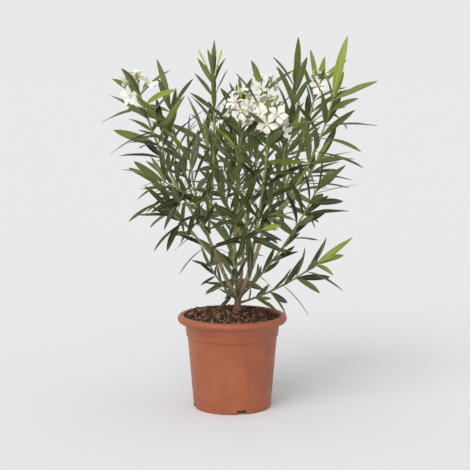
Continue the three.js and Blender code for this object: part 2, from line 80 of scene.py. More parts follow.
# The pot, with its height and rim from the frame. Its wall eases into the collar over a short height.
# Blocks that cut it reach beyond it.
POT_HEIGHT = round(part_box("pot")[1].z / MM, 2)
RIM_RADIUS = round(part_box("pot")[1].x / MM, 2)
RIM_HEIGHT = 17
RIM_MOUTH_RADIUS = 106
RIM_LIP = 4
RIM_FILLET = 1.2
RIM_FOOT_Z = POT_HEIGHT - RIM_HEIGHT
COLLAR_TOP_RADIUS = 103.5
COLLAR_FOOT_RADIUS = 101
COLLAR_HEIGHT = 29
COLLAR_FOOT_Z = RIM_FOOT_Z - COLLAR_HEIGHT
EASE_BELOW = 4
EASE_ABOVE = 2
WALL_TOP_RADIUS = 98
FOOT_RADIUS = 85
FOOT_ROUND = 1.5
WALL = 2.5
FLOOR = 3
NOTCHES = 4
NOTCH_WIDTH = 26
NOTCH_TOP_WIDTH = 19
NOTCH_HEIGHT = 10
NOTCH_DEPTH = 15
FIRST_NOTCH_DEG = 14
BEYOND = 10
POT_SEGMENTS = 192
POT_SHARP = 30

# The soil, a plug that ends just above the pot's notches. Its relief is a broad swell and finer lumps.
SOIL_FOOT_Z = NOTCH_HEIGHT + WALL + 1
SOIL_EDGE_Z = 200
SOIL_TOP_Z = 213
SOIL_TOP_RADIUS = 30
SOIL_SLOPE_X = -0.035
SOIL_SLOPE_Y = 0.025
SOIL_INSET = 0.3
SOIL_SINK = 0.8
SOIL_ROWS = 56
SOIL_SEGMENTS = 150
SOIL_RELIEF = 2.4
SWELL_SHARE = 0.7
SWELL_SCALE = 0.035
LUMP_SHARE = 0.75
LUMP_SCALE = 0.11
LUMP_LAYERS = (0.8, 2.1, 4)

# Loose litter on the soil: how uneven, rounded and tilted its bits are, and how they are spread
LITTER_ROUGH_DRAW = (0.72, 1.2)
LITTER_ROUND = 0.86
LITTER_TILT = 0.5
LITTER_MARGIN = 8
LITTER_LEAN = 0.4
TRUNK_MARGIN = 4

# The trunk's axis starts inside the soil. A limb leaves its parent's tip on a heading, in degrees from
# +X towards +Y, and ends reach out and rise up from there. It sets off flatter than its chord and ends
# steeper, by curl degrees in all. The foot and tip are its radii there.
TRUNK = dict(start=(9, 0, 200), heading=0, reach=4, rise=42, curl=4, foot=8.2, tip=7)
TRUNK_FLARE = 1.6
FLARE_SHARE = 0.7
BOUGHS = {
    "left_low": dict(parent="trunk", heading=166, reach=41, rise=75, curl=22, foot=4.7, tip=4.1),
    "left_high": dict(parent="left_low", heading=169, reach=27, rise=59, curl=8, foot=3.9, tip=3.5),
    "centre": dict(parent="trunk", heading=210, reach=10, rise=119, curl=4, foot=4.8, tip=3.8),
    "right": dict(parent="trunk", heading=5, reach=57, rise=155, curl=14, foot=4.8, tip=3.9),
    "back": dict(parent="trunk", height=36, heading=78, reach=63, rise=125, curl=24, foot=4.4, tip=3.6),
    "front": dict(parent="trunk", height=32, heading=300, reach=64, rise=122, curl=24, foot=4.4, tip=3.6),
}

# A shoot's parent, heading, reach and rise come first. It also has its bare length, the length of its
# longest leaves, the numbers of side twigs and fine twigs, the spread of the leaves at its tip and the
# seed of its draws. Shoots on the trunk leave it at a height above its foot.
ANY_SHOOT = dict(curl=20, bare=40, leaf=118, twigs=1, fine=0, tip_spread=48)


def shoot(parent, heading, reach, rise, **own):
    return dict(ANY_SHOOT, parent=parent, heading=heading, reach=reach, rise=rise, **own)


SHOOTS = {
    "left_side": shoot("left_low", 197, 140, 194, bare=50, leaf=112, seed=68),
    "left_flower": shoot("left_high", 202, 158, 326, bare=60, leaf=124, tip_spread=62, seed=43),
    "left_top": shoot("left_high", 332, 14, 348, curl=10, leaf=84, twigs=0, tip_spread=14, seed=54),
    "left_back": shoot("left_high", 135, 121, 277, seed=5),
    "left_front": shoot("left_high", 257, 150, 177, curl=26, leaf=112, fine=1, seed=18),
    "centre_flower": shoot("centre", 283, 67, 299, curl=16, fine=2, tip_spread=62, seed=9),
    "centre_top": shoot("centre", 80, 70, 292, curl=12, bare=50, leaf=112, fine=2, seed=7),
    "front_flower": shoot("front", 288, 102, 296, leaf=122, fine=2, tip_spread=62, seed=13),
    "front_low": shoot("front", 261, 137, 110, curl=26, leaf=108, twigs=0, fine=1, seed=18),
    "right_top": shoot("right", 354, 148, 286, curl=30, bare=60, leaf=136, twigs=0, tip_spread=68, seed=40),
    "right_head": shoot("right", 28, 132, 308, curl=22, leaf=112, twigs=0, tip_spread=38, seed=27),
    "right_inner": shoot("right", 38, 88, 304, curl=12, leaf=116, tip_spread=40, seed=14),
    "right_side": shoot("right", 35, 149, 141, bare=35, leaf=112, twigs=0, seed=1),
    "back_flower": shoot("back", 59, 79, 334, curl=16, leaf=112, seed=27),
    "back_left": shoot("back", 125, 156, 216, fine=1, seed=35),
    "back_right": shoot("back", 52, 175, 216, seed=41),
    "right_mid": shoot("trunk", 340, 180, 251, height=39, leaf=109, twigs=0, seed=63),
    "right_low": shoot("trunk", 347, 173, 92, height=29, leaf=102, twigs=0, seed=44),
    "low_left": shoot("trunk", 222, 80, 84, height=35, bare=20, leaf=62, twigs=0, seed=44),
    "low_back": shoot("trunk", 96, 170, 140, height=31, leaf=104, twigs=0, seed=77),
    "low_front": shoot("trunk", 316, 62, 76, height=37, bare=12, leaf=66, twigs=0, seed=48),
    "low_middle": shoot("trunk", 258, 52, 106, height=40, bare=14, leaf=76, twigs=0, seed=12),
}

# The flowers and buds of the head at a shoot's tip, its neck above the last leaves, the length of a bud
# with its stalk, where that isn't BUD_LENGTH, and the tint of its buds
HEADS = {
    "left_flower": dict(flowers=4, buds=5, neck=10, tint="bud_blush"),
    "left_top": dict(flowers=0, buds=4, neck=-10, bud=80, tint="bud_green"),
    "centre_flower": dict(flowers=10, buds=5, neck=34, tint="bud_green"),
    "front_flower": dict(flowers=10, buds=3, neck=34, tint="bud_green"),
    "right_head": dict(flowers=3, buds=3, neck=8, tint="bud_blush"),
    "back_flower": dict(flowers=4, buds=4, neck=14, tint="bud_green"),
}
NO_HEAD = dict(flowers=0, buds=0, neck=-10)

# How leaves stand on a shoot: whorls of three, closer, shorter and more upright towards the tip.
# The spacing and the sag go from foot to tip. A turn's draw is the half width of a seeded random step, in
# degrees, a spread's draw is a share of it, and the other draws go from least to most.
WHORL = 3
SPACING = (40, 24)
LOW_SPREAD = 84
SPREAD_DRAW = 0.36
TURN_DRAW = 12
ROLL_DRAW = (-12, 48)
OUTWARD = 270
SAG = (0.4, 0.03)
SAG_DRAW = (0.4, 1)
LONGEST_AT = 0.6
SHORTENING = 0.9
LENGTH_DRAW = (0.82, 1)
BOW_DRAW = (0.01, 0.06)
LAST_WHORL = 0.985
LEAD_SPREAD = 7
LEAD_BOW = 0.02
LEAD_FLOWERS = 2

# A leaf that leaves its space is tried again, each time turned, more upright and shorter
TRIES = 6
TRY_TURN = 9
TRY_SPREAD = 0.11
TRY_LENGTH = 0.06
FIT_WIDTH = 0.16
FIT_PLACES = [0.25, 0.4, 0.6, 0.8, 1]
SPACE_MARGIN = 1.2
LIMB_MARGIN = 4
RIM_MARGIN = 12
HANG_Z = 120
AXIS_STEPS = 12

# Stems on a bough and on the trunk, then side twigs, and the finer twigs that carry the rule on. Each has
# the radii of its foot, its tip and the collar round its foot. A stem is woody up to a length, and twigs
# stand between the lowest and the highest share of their stem.
BOUGH_STEM = dict(foot=3.4, tip=1.8, woody=46)
LOW_STEM = dict(foot=2.5, tip=1.8, woody=24, collar=3.3)
TWIG = dict(
    length=90, lean=40, lowest=0.25, highest=0.62, draws=24, leaf_share=0.88,
    bare=34, foot=1.9, tip=1.44, collar=2.28,
)
FINE_TWIG = dict(
    length=62, lean=46, lowest=0.05, highest=0.55, draws=30, leaf_share=0.62,
    bare=14, foot=1.3, tip=0.91, collar=1.56, columns=8,
)
TWIG_CURL = 10

# The flower heads: stalked flowers round the tip in two rings, with slender buds among them
PETALS = 5
FLOWER_RADIUS = 24
STALK = 35
STALK_DRAW = (0.9, 1.15)
STALK_STEP = 0.012
FIRST_LEAN = 10
HEAD_LEAN = 84
HEAD_STEP = 30
HEAD_DRAW = 8
BUD_LEAN_DRAW = (14, 42)
BUD_LENGTH = 56
BUD_DRAW = (0.8, 1)
GOLDEN_TURN = 137.5

# Seeded draws: the shoots' as in the source of the solids, and those of the looks
FINE_SEED = 200
LOOKS_SEED = 7
DEAL_STEP = 1664525
DEAL_SHIFT = 1013904223
DEAL_SPREAD = 2654435761
DEAL_RANGE = 2 ** 32

UP = np.array([0.0, 0.0, 1.0])
rng = np.random.default_rng(LOOKS_SEED)


def dealer(seed):
    state = (seed * DEAL_SPREAD) % DEAL_RANGE

    def draw(low, high):
        nonlocal state
        state = (DEAL_STEP * state + DEAL_SHIFT) % DEAL_RANGE
        return low + (high - low) * state / DEAL_RANGE

    return draw


def blend(first, last, share):
    return first + (last - first) * share


def unit(vector):
    return vector / np.linalg.norm(vector, axis=-1, keepdims=True)


def bump(place, middle, width):
    """A smooth hump of height 1 at the middle."""
    return np.exp(-(((place - middle) / width) ** 2))


# Meshes are made from stacks of rings. A stack's rings turn the same way round its axis, and its two
# end rings are closed to a point.
class Pile:
    """Points and faces gathered for one piece."""

    def __init__(self):
        self.points = []
        self.quads = []
        self.tris = []
        self.quad_slots = []
        self.tri_slots = []
        self.count = 0

    def add_skins(self, rings, slots=0):
        """Adds n closed skins. The rings are (n, rows, columns, 3) and the slots (n, rows - 1, columns)."""
        n, rows, columns = rings.shape[:3]
        slots = np.broadcast_to(slots, (n, rows - 1, columns))
        ends = rings[:, [0, -1]].mean(axis=2)
        points = np.concatenate([rings.reshape(n, rows * columns, 3), ends], axis=1)
        here = np.arange(rows * columns).reshape(rows, columns)
        beside = np.roll(here, -1, axis=1)
        quads = np.stack([here[:-1], beside[:-1], beside[1:], here[1:]], axis=-1).reshape(-1, 4)
        first = np.stack([beside[0], here[0], np.full(columns, rows * columns)], axis=-1)
        last = np.stack([here[-1], beside[-1], np.full(columns, rows * columns + 1)], axis=-1)
        shift = self.count + np.arange(n)[:, None, None] * points.shape[1]
        self.points.append(points.reshape(-1, 3))
        self.quads.append((quads + shift).reshape(-1, 4))
        self.tris.append((np.concatenate([first, last]) + shift).reshape(-1, 3))
        self.quad_slots.append(slots.reshape(-1))
        self.tri_slots.append(slots[:, [0, -1]].reshape(-1))
        self.count += n * points.shape[1]

    def piece(self, name, materials, sharp=40):
        """The gathered faces as one object, with edges sharper than an angle left unsmoothed."""
        mesh = bpy.data.meshes.new(name)
        faces = np.concatenate(self.quads).tolist() + np.concatenate(self.tris).tolist()
        mesh.from_pydata(np.concatenate(self.points) * MM, [], faces)
        slots = np.concatenate(self.quad_slots + self.tri_slots)
        mesh.polygons.foreach_set("material_index", slots.astype(np.int32))
        for material in materials:
            mesh.materials.append(material)
        smoothed(mesh, sharp)
        return placed(name, mesh)


def smoothed(mesh, sharp):
    mesh.polygons.foreach_set("use_smooth", np.ones(len(mesh.polygons), bool))
    mesh.set_sharp_from_angle(angle=math.radians(sharp))


def placed(name, data):
    thing = bpy.data.objects.new(name, data)
    bpy.context.scene.collection.objects.link(thing)
    return thing


def finished(piece, slot, *nodes):
    """Fixes a piece to the plant and hides the nodes that it stands for. The slot is not used."""
    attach(piece, BODY)
    if nodes:
        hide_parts(*nodes)


def ring_angles(columns):
    return np.arange(columns) * 2 * math.pi / columns


# Materials
LENGTHWISE = (1, 1, 0.12)


def linear(colour):
    """A colour of 0 to 255 as the linear values that a shader takes, by the sRGB curve."""
    share = np.array(colour) / 255
    return tuple(np.where(share <= 0.04045, share / 12.92, ((share + 0.055) / 1.055) ** 2.4)) + (1.0,)


class Surface:
    """A Principled material, and the nodes that give it its pattern."""

    def __init__(self, name, colour, roughness, specular):
        self.material = bpy.data.materials.new(name)
        self.material.use_nodes = True
        self.tree = self.material.node_tree
        self.shader = self.tree.nodes["Principled BSDF"]
        values = {"Base Color": linear(colour), "Roughness": roughness, "Specular IOR Level": specular}
        self.fill(self.shader, values)

    def fill(self, node, inputs):
        """Gives a node's inputs their values, or links them to other nodes' outputs."""
        for key, value in inputs.items():
            if isinstance(value, bpy.types.NodeSocket):
                self.tree.links.new(value, node.inputs[key])
            else:
                node.inputs[key].default_value = value

    def node(self, kind, output, inputs, **settings):
        node = self.tree.nodes.new(f"ShaderNode{kind}")
        for name, setting in settings.items():
            setattr(node, name, setting)
        self.fill(node, inputs)
        return node.outputs[output]

    def place(self, stretch=(1, 1, 1)):
        """A point's place in metres, stretched."""
        place = self.node("TexCoord", "Object", {})
        return self.node("Mapping", "Vector", {"Vector": place, "Scale": stretch})

    def height(self):
        return self.node("SeparateXYZ", "Z", {0: self.place()})

    def noise(self, scale, detail=3.0, stretch=(1, 1, 1), roughness=0.55):
        """Noise whose lumps are about 1 / scale metres across."""
        inputs = {"Vector": self.place(stretch), "Scale": scale, "Detail": detail, "Roughness": roughness}
        return self.node("TexNoise", "Fac", inputs)

    def cells(self, scale, stretch):
        """The distance to the nearest of many scattered points."""
        return self.node("TexVoronoi", "Distance", {"Vector": self.place(stretch), "Scale": scale})

    def spread(self, value, low, high, first=0.0, last=1.0):
        """The value's range from low to high, mapped onto first to last."""
        inputs = {"Value": value, "From Min": low, "From Max": high, "To Min": first, "To Max": last}
        return self.node("MapRange", "Result", inputs, interpolation_type="SMOOTHSTEP")

    def mix(self, share, first, last):
        """Two colours mixed, each a colour of 0 to 255 or another node's output.

        The colours go into the node's sockets 6 and 7 and come out of its socket 2.
        """
        first, last = (linear(colour) if isinstance(colour, tuple) else colour for colour in (first, last))
        return self.node("Mix", 2, {"Factor": share, 6: first, 7: last}, data_type="RGBA")

    def over(self, body, colour, value, low, high, at_low=0.0, at_high=1.0):
        """A colour laid over the body by a share that goes with the value."""
        return self.mix(self.spread(value, low, high, at_low, at_high), body, colour)

    def sum(self, first, last, share):
        """The first value plus a share of the last."""
        return self.node("Math", 0, {0: last, 1: share, 2: first}, operation="MULTIPLY_ADD")

    def patterned(self, colour, relief, depth, **others):
        """The material with its colour, bump of a depth in millimetres, and the shader's other inputs."""
        normal = self.node("Bump", "Normal", {"Height": relief, "Strength": 1.0, "Distance": depth * MM})
        self.fill(self.shader, {"Base Color": colour, "Normal": normal, **others})
        return self.material


def plain(name, colour, roughness=0.5, specular=0.5):
    return Surface(name, colour, roughness, specular).material


# The plastic's tints. The lightest, for the band under the rim, is painted light against the rim's shade.
PLASTIC = dict(
    base=(153, 85, 56), dark=(147, 80, 52), light=(159, 91, 60), streak=(141, 82, 59),
    under_rim_painted_light=(192, 116, 82), rim=(141, 77, 52), dust=(174, 120, 93),
)
# How far below the rim the painted light reaches, lightening the band that the rim shades
PAINTED_LIGHT_HEIGHT = 14


def plastic_material():
    """Cloudy, streaked plastic, with painted light on a band just under the rim, and dusty in patches."""
    surface = Surface("pot_plastic", PLASTIC["base"], 0.45, 0.35)
    streaks = surface.noise(60, detail=2, stretch=LENGTHWISE)
    rim_foot = RIM_FOOT_Z * MM
    painted_light_foot = rim_foot - PAINTED_LIGHT_HEIGHT * MM
    body = surface.over(PLASTIC["dark"], PLASTIC["light"], surface.noise(18, detail=4), 0.3, 0.7)
    body = surface.over(body, PLASTIC["streak"], streaks, 0.45, 0.8, at_high=0.35)
    # Painted light: the band under the rim is lightened against the shade that the rim casts on it
    body = surface.over(body, PLASTIC["under_rim_painted_light"], surface.height(), painted_light_foot, rim_foot - MM, at_high=0.6)
    body = surface.over(body, PLASTIC["rim"], surface.height(), rim_foot - MM, rim_foot, at_high=0.8)
    patches = surface.noise(170, detail=6, roughness=0.7)
    body = surface.over(body, PLASTIC["dust"], patches, 0.55, 0.78, at_high=0.22)
    relief = surface.sum(surface.noise(900, detail=2), streaks, 0.8)
    gloss = surface.spread(surface.noise(40), 0.3, 0.7, 0.38, 0.56)
    return surface.patterned(body, relief, 0.12, Roughness=gloss)


COMPOST = dict(base=(52, 37, 26), dark=(34, 23, 16), light=(72, 52, 37), fibre=(104, 78, 52))


def soil_material():
    surface = Surface("compost", COMPOST["base"], 0.95, 0.2)
    lumps = surface.noise(160, detail=6, roughness=0.7)
    fibres = surface.noise(420, detail=3, stretch=(1, 0.35, 1))
    body = surface.over(COMPOST["dark"], COMPOST["light"], lumps, 0.35, 0.65)
    body = surface.over(body, COMPOST["fibre"], fibres, 0.6, 0.75, at_high=0.7)
    return surface.patterned(body, surface.noise(600, detail=5, roughness=0.7), 1.2)


def crumb_material(name, dark, light):
    surface = Surface(name, dark, 0.9, 0.25)
    grain = surface.noise(500, detail=4, stretch=(1, 1, 0.4), roughness=0.65)
    return surface.patterned(surface.over(dark, light, grain, 0.35, 0.65), grain, 0.4)


BARK = dict(
    base=(112, 94, 74), foot=(116, 88, 60), middle=(156, 136, 112), high=(146, 142, 104),
    furrow=(62, 46, 34), pore=(168, 148, 120),
)


def bark_material():
    """Furrowed bark, brown at the foot, grey above and greenish where it is youngest."""
    surface = Surface("bark", BARK["base"], 0.8, 0.3)
    level = surface.sum(surface.height(), surface.noise(30), 0.05)
    furrows = surface.noise(420, detail=4, stretch=(1, 1, 0.13), roughness=0.65)
    pores = surface.spread(surface.cells(330, stretch=(1, 1, 0.55)), 0.1, 0.26, 0.7, 0.0)
    body = surface.over(BARK["foot"], BARK["middle"], level, 0.24, 0.30)
    body = surface.over(body, BARK["high"], level, 0.32, 0.43)
    body = surface.over(body, BARK["furrow"], furrows, 0.3, 0.52, at_low=0.75, at_high=0.0)
    body = surface.mix(pores, body, BARK["pore"])
    gloss = surface.spread(furrows, 0.3, 0.7, 0.88, 0.66)
    return surface.patterned(body, surface.sum(furrows, pores, 0.3), 0.5, Roughness=gloss)


def twig_material(name, dark, light, freckle):
    """Striped and freckled skin, olive low in the plant."""
    surface = Surface(name, dark, 0.5, 0.4)
    stripes = surface.noise(500, stretch=LENGTHWISE)
    level = surface.sum(surface.height(), surface.noise(40, detail=2), 0.05)
    body = surface.over(dark, light, stripes, 0.35, 0.65)
    body = surface.over(body, (88, 82, 50), level, 0.24, 0.40, at_low=0.75, at_high=0.0)
    body = surface.over(body, freckle, surface.noise(700, detail=2), 0.62, 0.75, at_high=0.6)
    gloss = surface.spread(stripes, 0.3, 0.7, 0.6, 0.42)
    return surface.patterned(body, stripes, 0.25, Roughness=gloss)


# The leaves' tints, from the crown's inside, where the deep tint is a painted shade, to its youngest tips,
# lighter for youth and partly as painted light, then the rib and the underside of each
LEAF_COLOURS = {
    "leaf_deep": (36, 41, 14),
    "leaf_dark": (55, 62, 20),
    "leaf_mid": (87, 99, 31),
    "leaf_fresh": (124, 137, 44),
    "leaf_young": (156, 169, 56),
    "under_dark": (103, 111, 64),
    "under_fresh": (138, 152, 80),
    "rib_dark": (114, 126, 64),
    "rib_fresh": (172, 182, 96),
}
LEAF_NAMES = list(LEAF_COLOURS)
YOUNGEST = LEAF_NAMES.index("leaf_young")


# Limbs
class Limb:
    """A quadratic curve in a vertical plane."""

    def __init__(self, start, heading, reach, rise, curl, **rest):
        turn = math.radians(heading)
        out = np.array([math.cos(turn), math.sin(turn), 0.0])
        chord = out * reach + UP * rise
        below = unit(out * rise - UP * reach)
        self.length = float(np.linalg.norm(chord))
        sag = self.length / 2 * math.tan(math.radians(curl) / 2)
        self.start = np.array(start, float)
        self.control = self.start + chord / 2 + below * sag
        self.end = self.start + chord
        self.side = np.array([-out[1], out[0], 0.0])

    def at(self, t):
        t = np.asarray(t, float)[..., None]
        return (1 - t) ** 2 * self.start + 2 * t * (1 - t) * self.control + t * t * self.end

    def tangent(self, t):
        t = np.asarray(t, float)[..., None]
        return unit((1 - t) * (self.control - self.start) + t * (self.end - self.control))


def grown_paths():
    paths = {"trunk": Limb(**TRUNK)}
    for name, size in {**BOUGHS, **SHOOTS}.items():
        parent = paths[size["parent"]]
        start = parent.at(size["height"] / TRUNK["rise"]) if "height" in size else parent.end
        paths[name] = Limb(start, **size)
    return paths


PATHS = grown_paths()
LIMBS = ["trunk", *BOUGHS]
LIMB_FEET = np.array([size["foot"] for size in (TRUNK, *BOUGHS.values())])


def axes_of(names):
    return np.array([PATHS[name].at(np.linspace(0, 1, AXIS_STEPS + 1)) for name in names])


SHOOT_AXES = axes_of(SHOOTS)
LIMB_AXES = axes_of(LIMBS)


def distances(axes, places):
    """How far each place lies from each axis."""
    spans = axes[:, 1:] - axes[:, :-1]
    offsets = places[:, None, None, :] - axes[:, :-1]
    shares = np.clip((offsets * spans).sum(-1) / (spans * spans).sum(-1), 0, 1)
    return np.linalg.norm(offsets - shares[..., None] * spans, axis=-1).min(axis=-1)


def in_own_space(name, places):
    away = distances(SHOOT_AXES, places)
    index = list(SHOOTS).index(name)
    own = away[:, index] + SPACE_MARGIN
    away[:, index] = np.inf
    return bool((away > own[:, None]).all())


def clear_of_limbs(places):
    return bool((distances(LIMB_AXES, places) > LIMB_FEET + LIMB_MARGIN).all())


def clear_of_pot(places):
    outside = np.hypot(places[:, 0], places[:, 1]) > RIM_RADIUS + RIM_MARGIN
    return bool((places[:, 2] > np.where(outside, HANG_Z, POT_HEIGHT + RIM_MARGIN)).all())


def beside(path, t, lean, turn):
    """A direction that leans from the stem's own, turned round the stem, both in degrees."""
    stem = path.tangent(t)
    across = np.cross(stem, path.side)
    out = math.sin(math.radians(lean))
    turn = math.radians(turn)
    ahead = math.cos(math.radians(lean))
    return stem * ahead + path.side * (math.cos(turn) * out) + across * (math.sin(turn) * out)


# Leaves
Leaf = namedtuple("Leaf", "root along facing side length bow age")


def rolled(vector, axis, degrees):
    """The vector turned round an axis that it stands square to."""
    turn = math.radians(degrees)
    return vector * math.cos(turn) + np.cross(axis, vector) * math.sin(turn)


def leaf_at(root, along, stem, length, bow, roll, age):
    """A leaf whose upper side looks up its stem, and is rolled to look out of the crown."""
    facing = unit(stem - along * (stem @ along))
    outward = np.cross(along, facing) @ (root - PATHS["trunk"].end)
    facing = rolled(facing, along, roll if outward > 0 else -roll)
    return Leaf(root, along, facing, np.cross(along, facing), length, bow, age)


def on_leaf(leaf, t):
    t = np.asarray(t, float)[..., None]
    return leaf.root + leaf.along * leaf.length * t + leaf.facing * leaf.bow * leaf.length * 4 * t * (1 - t)


def leaf_fits(name, leaf):
    half = leaf.side * leaf.length * FIT_WIDTH / 2
    middle = on_leaf(leaf, 0.5)
    places = np.vstack([on_leaf(leaf, FIT_PLACES), middle + half, middle - half])
    return clear_of_pot(places) and clear_of_limbs(places) and in_own_space(name, places)


def fitted_leaf(name, path, wanted):
    """Tries a leaf further round, more upright and shorter until it fits its space."""
    t = wanted["t"]
    stem = path.tangent(t)
    root = path.at(t)
    for attempt in range(TRIES):
        turn = wanted["turn"] + (1 if attempt % 2 else -1) * TRY_TURN * attempt
        along = beside(path, t, wanted["spread"] * (1 - TRY_SPREAD * attempt), turn)
        along = unit(along - UP * wanted["sag"])
        length = wanted["length"] * (1 - TRY_LENGTH * attempt)
        leaf = leaf_at(root, along, stem, length, wanted["bow"], wanted["roll"], t)
        if leaf_fits(name, leaf):
            return leaf
    return None


def leaves_on(name, path, longest, bare, draw):
    """The whorls along a stem or twig. A leaf of every other whorl looks straight outward."""
    tip_spread = SHOOTS[name]["tip_spread"]
    head = HEADS.get(name, NO_HEAD)
    last = path.length - (head if path is PATHS[name] else NO_HEAD)["neck"]
    wanted = []
    place = bare
    whorl = 0
    while place < last:
        t = min(LAST_WHORL, place / path.length)
        for i in range(WHORL):
            wanted.append(dict(
                t=t,
                turn=OUTWARD + 360 / WHORL * (i + whorl / 2) + draw(-TURN_DRAW, TURN_DRAW),
                spread=blend(LOW_SPREAD, tip_spread, t * t) * draw(1 - SPREAD_DRAW, 1 + SPREAD_DRAW),
                sag=blend(*SAG, t) * draw(*SAG_DRAW),
                length=longest * (1 - SHORTENING * (t - LONGEST_AT) ** 2) * draw(*LENGTH_DRAW),
                bow=draw(*BOW_DRAW),
                roll=draw(*ROLL_DRAW),
            ))
        place += blend(*SPACING, t)
        whorl += 1
    if head["flowers"] <= LEAD_FLOWERS:
        lead = dict(t=LAST_WHORL, turn=0, spread=LEAD_SPREAD, sag=0, length=longest, bow=LEAD_BOW, roll=0)
        wanted.append(lead)
    fitted = [fitted_leaf(name, path, leaf) for leaf in wanted]
    return [leaf for leaf in fitted if leaf]


def twig_path(path, kind, draw):
    t = draw(kind["lowest"], kind["highest"])
    along = beside(path, t, kind["lean"], draw(0, 360))
    heading = math.degrees(math.atan2(along[1], along[0]))
    reach = math.hypot(along[0], along[1]) * kind["length"]
    return Limb(path.at(t), heading, reach, along[2] * kind["length"], TWIG_CURL)


def add_twigs(grown, name, key, kind, draw):
    """Twigs with leaves, whose ends stay in the shoot's space and away from the other twigs' ends."""
    size = SHOOTS[name]
    for _ in range(kind["draws"]):
        if len(grown[key]) >= size[key]:
            break
        twig = twig_path(grown["path"], kind, draw)
        others = grown["twigs"] + grown["fine"]
        apart = all(np.linalg.norm(other.end - twig.end) > kind["length"] for other in others)
        end = twig.end[None]
        if in_own_space(name, end) and clear_of_limbs(end) and apart:
            grown[key].append(twig)
            grown["leaves"] += leaves_on(name, twig, size["leaf"] * kind["leaf_share"], kind["bare"], draw)


def head_of(name, path, draw):
    """Flowers stand in a ring round the first one, and buds lean up between them."""
    if name not in HEADS:
        return []
    head = HEADS[name]
    phase = draw(0, 360)
    blooms = []
    for i in range(head["flowers"] + head["buds"]):
        is_open = i < head["flowers"]
        if is_open:
            lean = HEAD_LEAN - HEAD_STEP * (i % 2) + draw(-HEAD_DRAW, HEAD_DRAW)
            turn = 360 * i / (head["flowers"] - 1)
            length = STALK * draw(*STALK_DRAW)
        else:
            lean = draw(*BUD_LEAN_DRAW)
            turn = GOLDEN_TURN * i
            length = head.get("bud", BUD_LENGTH) * draw(*BUD_DRAW)
        t = LAST_WHORL - STALK_STEP * (i if is_open else i - head["flowers"])
        along = beside(path, t, FIRST_LEAN if is_open and i == 0 else lean, phase + turn)
        blooms.append(dict(open=is_open, root=path.at(t), along=along, length=length, tint=head["tint"]))
    return blooms


def grow_shoot(name):
    """Everything that grows on a shoot, by the solids' rule and then with finer twigs by the same rule."""
    size = SHOOTS[name]
    path = PATHS[name]
    draw = dealer(size["seed"])
    leaves = leaves_on(name, path, size["leaf"], size["bare"], draw)
    grown = dict(path=path, leaves=leaves, twigs=[], fine=[])
    add_twigs(grown, name, "twigs", TWIG, draw)
    grown["head"] = head_of(name, path, draw)
    add_twigs(grown, name, "fine", FINE_TWIG, dealer(FINE_SEED + size["seed"]))
    return grown


# A leaf blade: stations along it, and columns round its section, the upper side first. Its width and
# thickness follow, its rib, which narrows to the tip, and how leaves differ in their bends and breadth.
LEAF_ROWS = np.array([-0.02, 0.03, 0.07, 0.14, 0.24, 0.36, 0.48, 0.6, 0.72, 0.83, 0.92, 0.97, 1.0])
LEAF_COLUMNS = np.array([-1, -0.55, -0.1, 0.1, 0.55, 1, 0.55, 0.1, -0.1, -0.55])
LEAF_LOWER = np.array([0.5, 0, 0, 0, 0, 0.5, 1, 1, 1, 1])
UPPER_FACES = 5
RIB_FACES = [2, 7]
RIB_COLUMN = 0.2
LEAF_WIDTH = 0.158
LEAF_POINTED = 0.8
LEAF_SHOULDER = 0.72
PETIOLE_END = 0.045
PETIOLE_HALF = 0.9
PETIOLE_FADE = 0.1
PETIOLE_FADED = 0.16
POINT_SHARE = 0.12
BLADE_THICK = 0.38
MOST_THICK = 1.6
RIB_HALF = 0.55
RIB_HALF_FADE = 1.15
RIB_DEEP = 0.9
RIB_DEEP_FADE = 1.05
EDGE_CURL = 0.16
WAVES = 2.3
WAVED_HALF = 2
DROOP_POWER = 2.6
DROOP_DRAW = (0, 0.09)
DROOP_FADE = 1.15
SWAY = 0.012
TWIST = 0.38
FOLD_DRAW = (0.16, 0.55)
WAVE_DRAW = (0, 0.5)
BREADTH_DRAW = (0.86, 1.14)


def leaf_half_widths(lengths):
    """Half the blade's width at each station: a short stalk, then a lance shape."""
    rows = LEAF_ROWS[:, None]
    t = np.clip((rows - PETIOLE_END) / (1 - PETIOLE_END), 0, 1)
    shape = t ** LEAF_SHOULDER * (1 - t) ** LEAF_POINTED
    peak = LEAF_SHOULDER / (LEAF_SHOULDER + LEAF_POINTED)
    shape = shape / (peak ** LEAF_SHOULDER * (1 - peak) ** LEAF_POINTED)
    stalk = PETIOLE_HALF * np.clip((PETIOLE_FADED - rows) / PETIOLE_FADE, POINT_SHARE, 1)
    return np.maximum(shape * lengths * LEAF_WIDTH / 2, stalk)


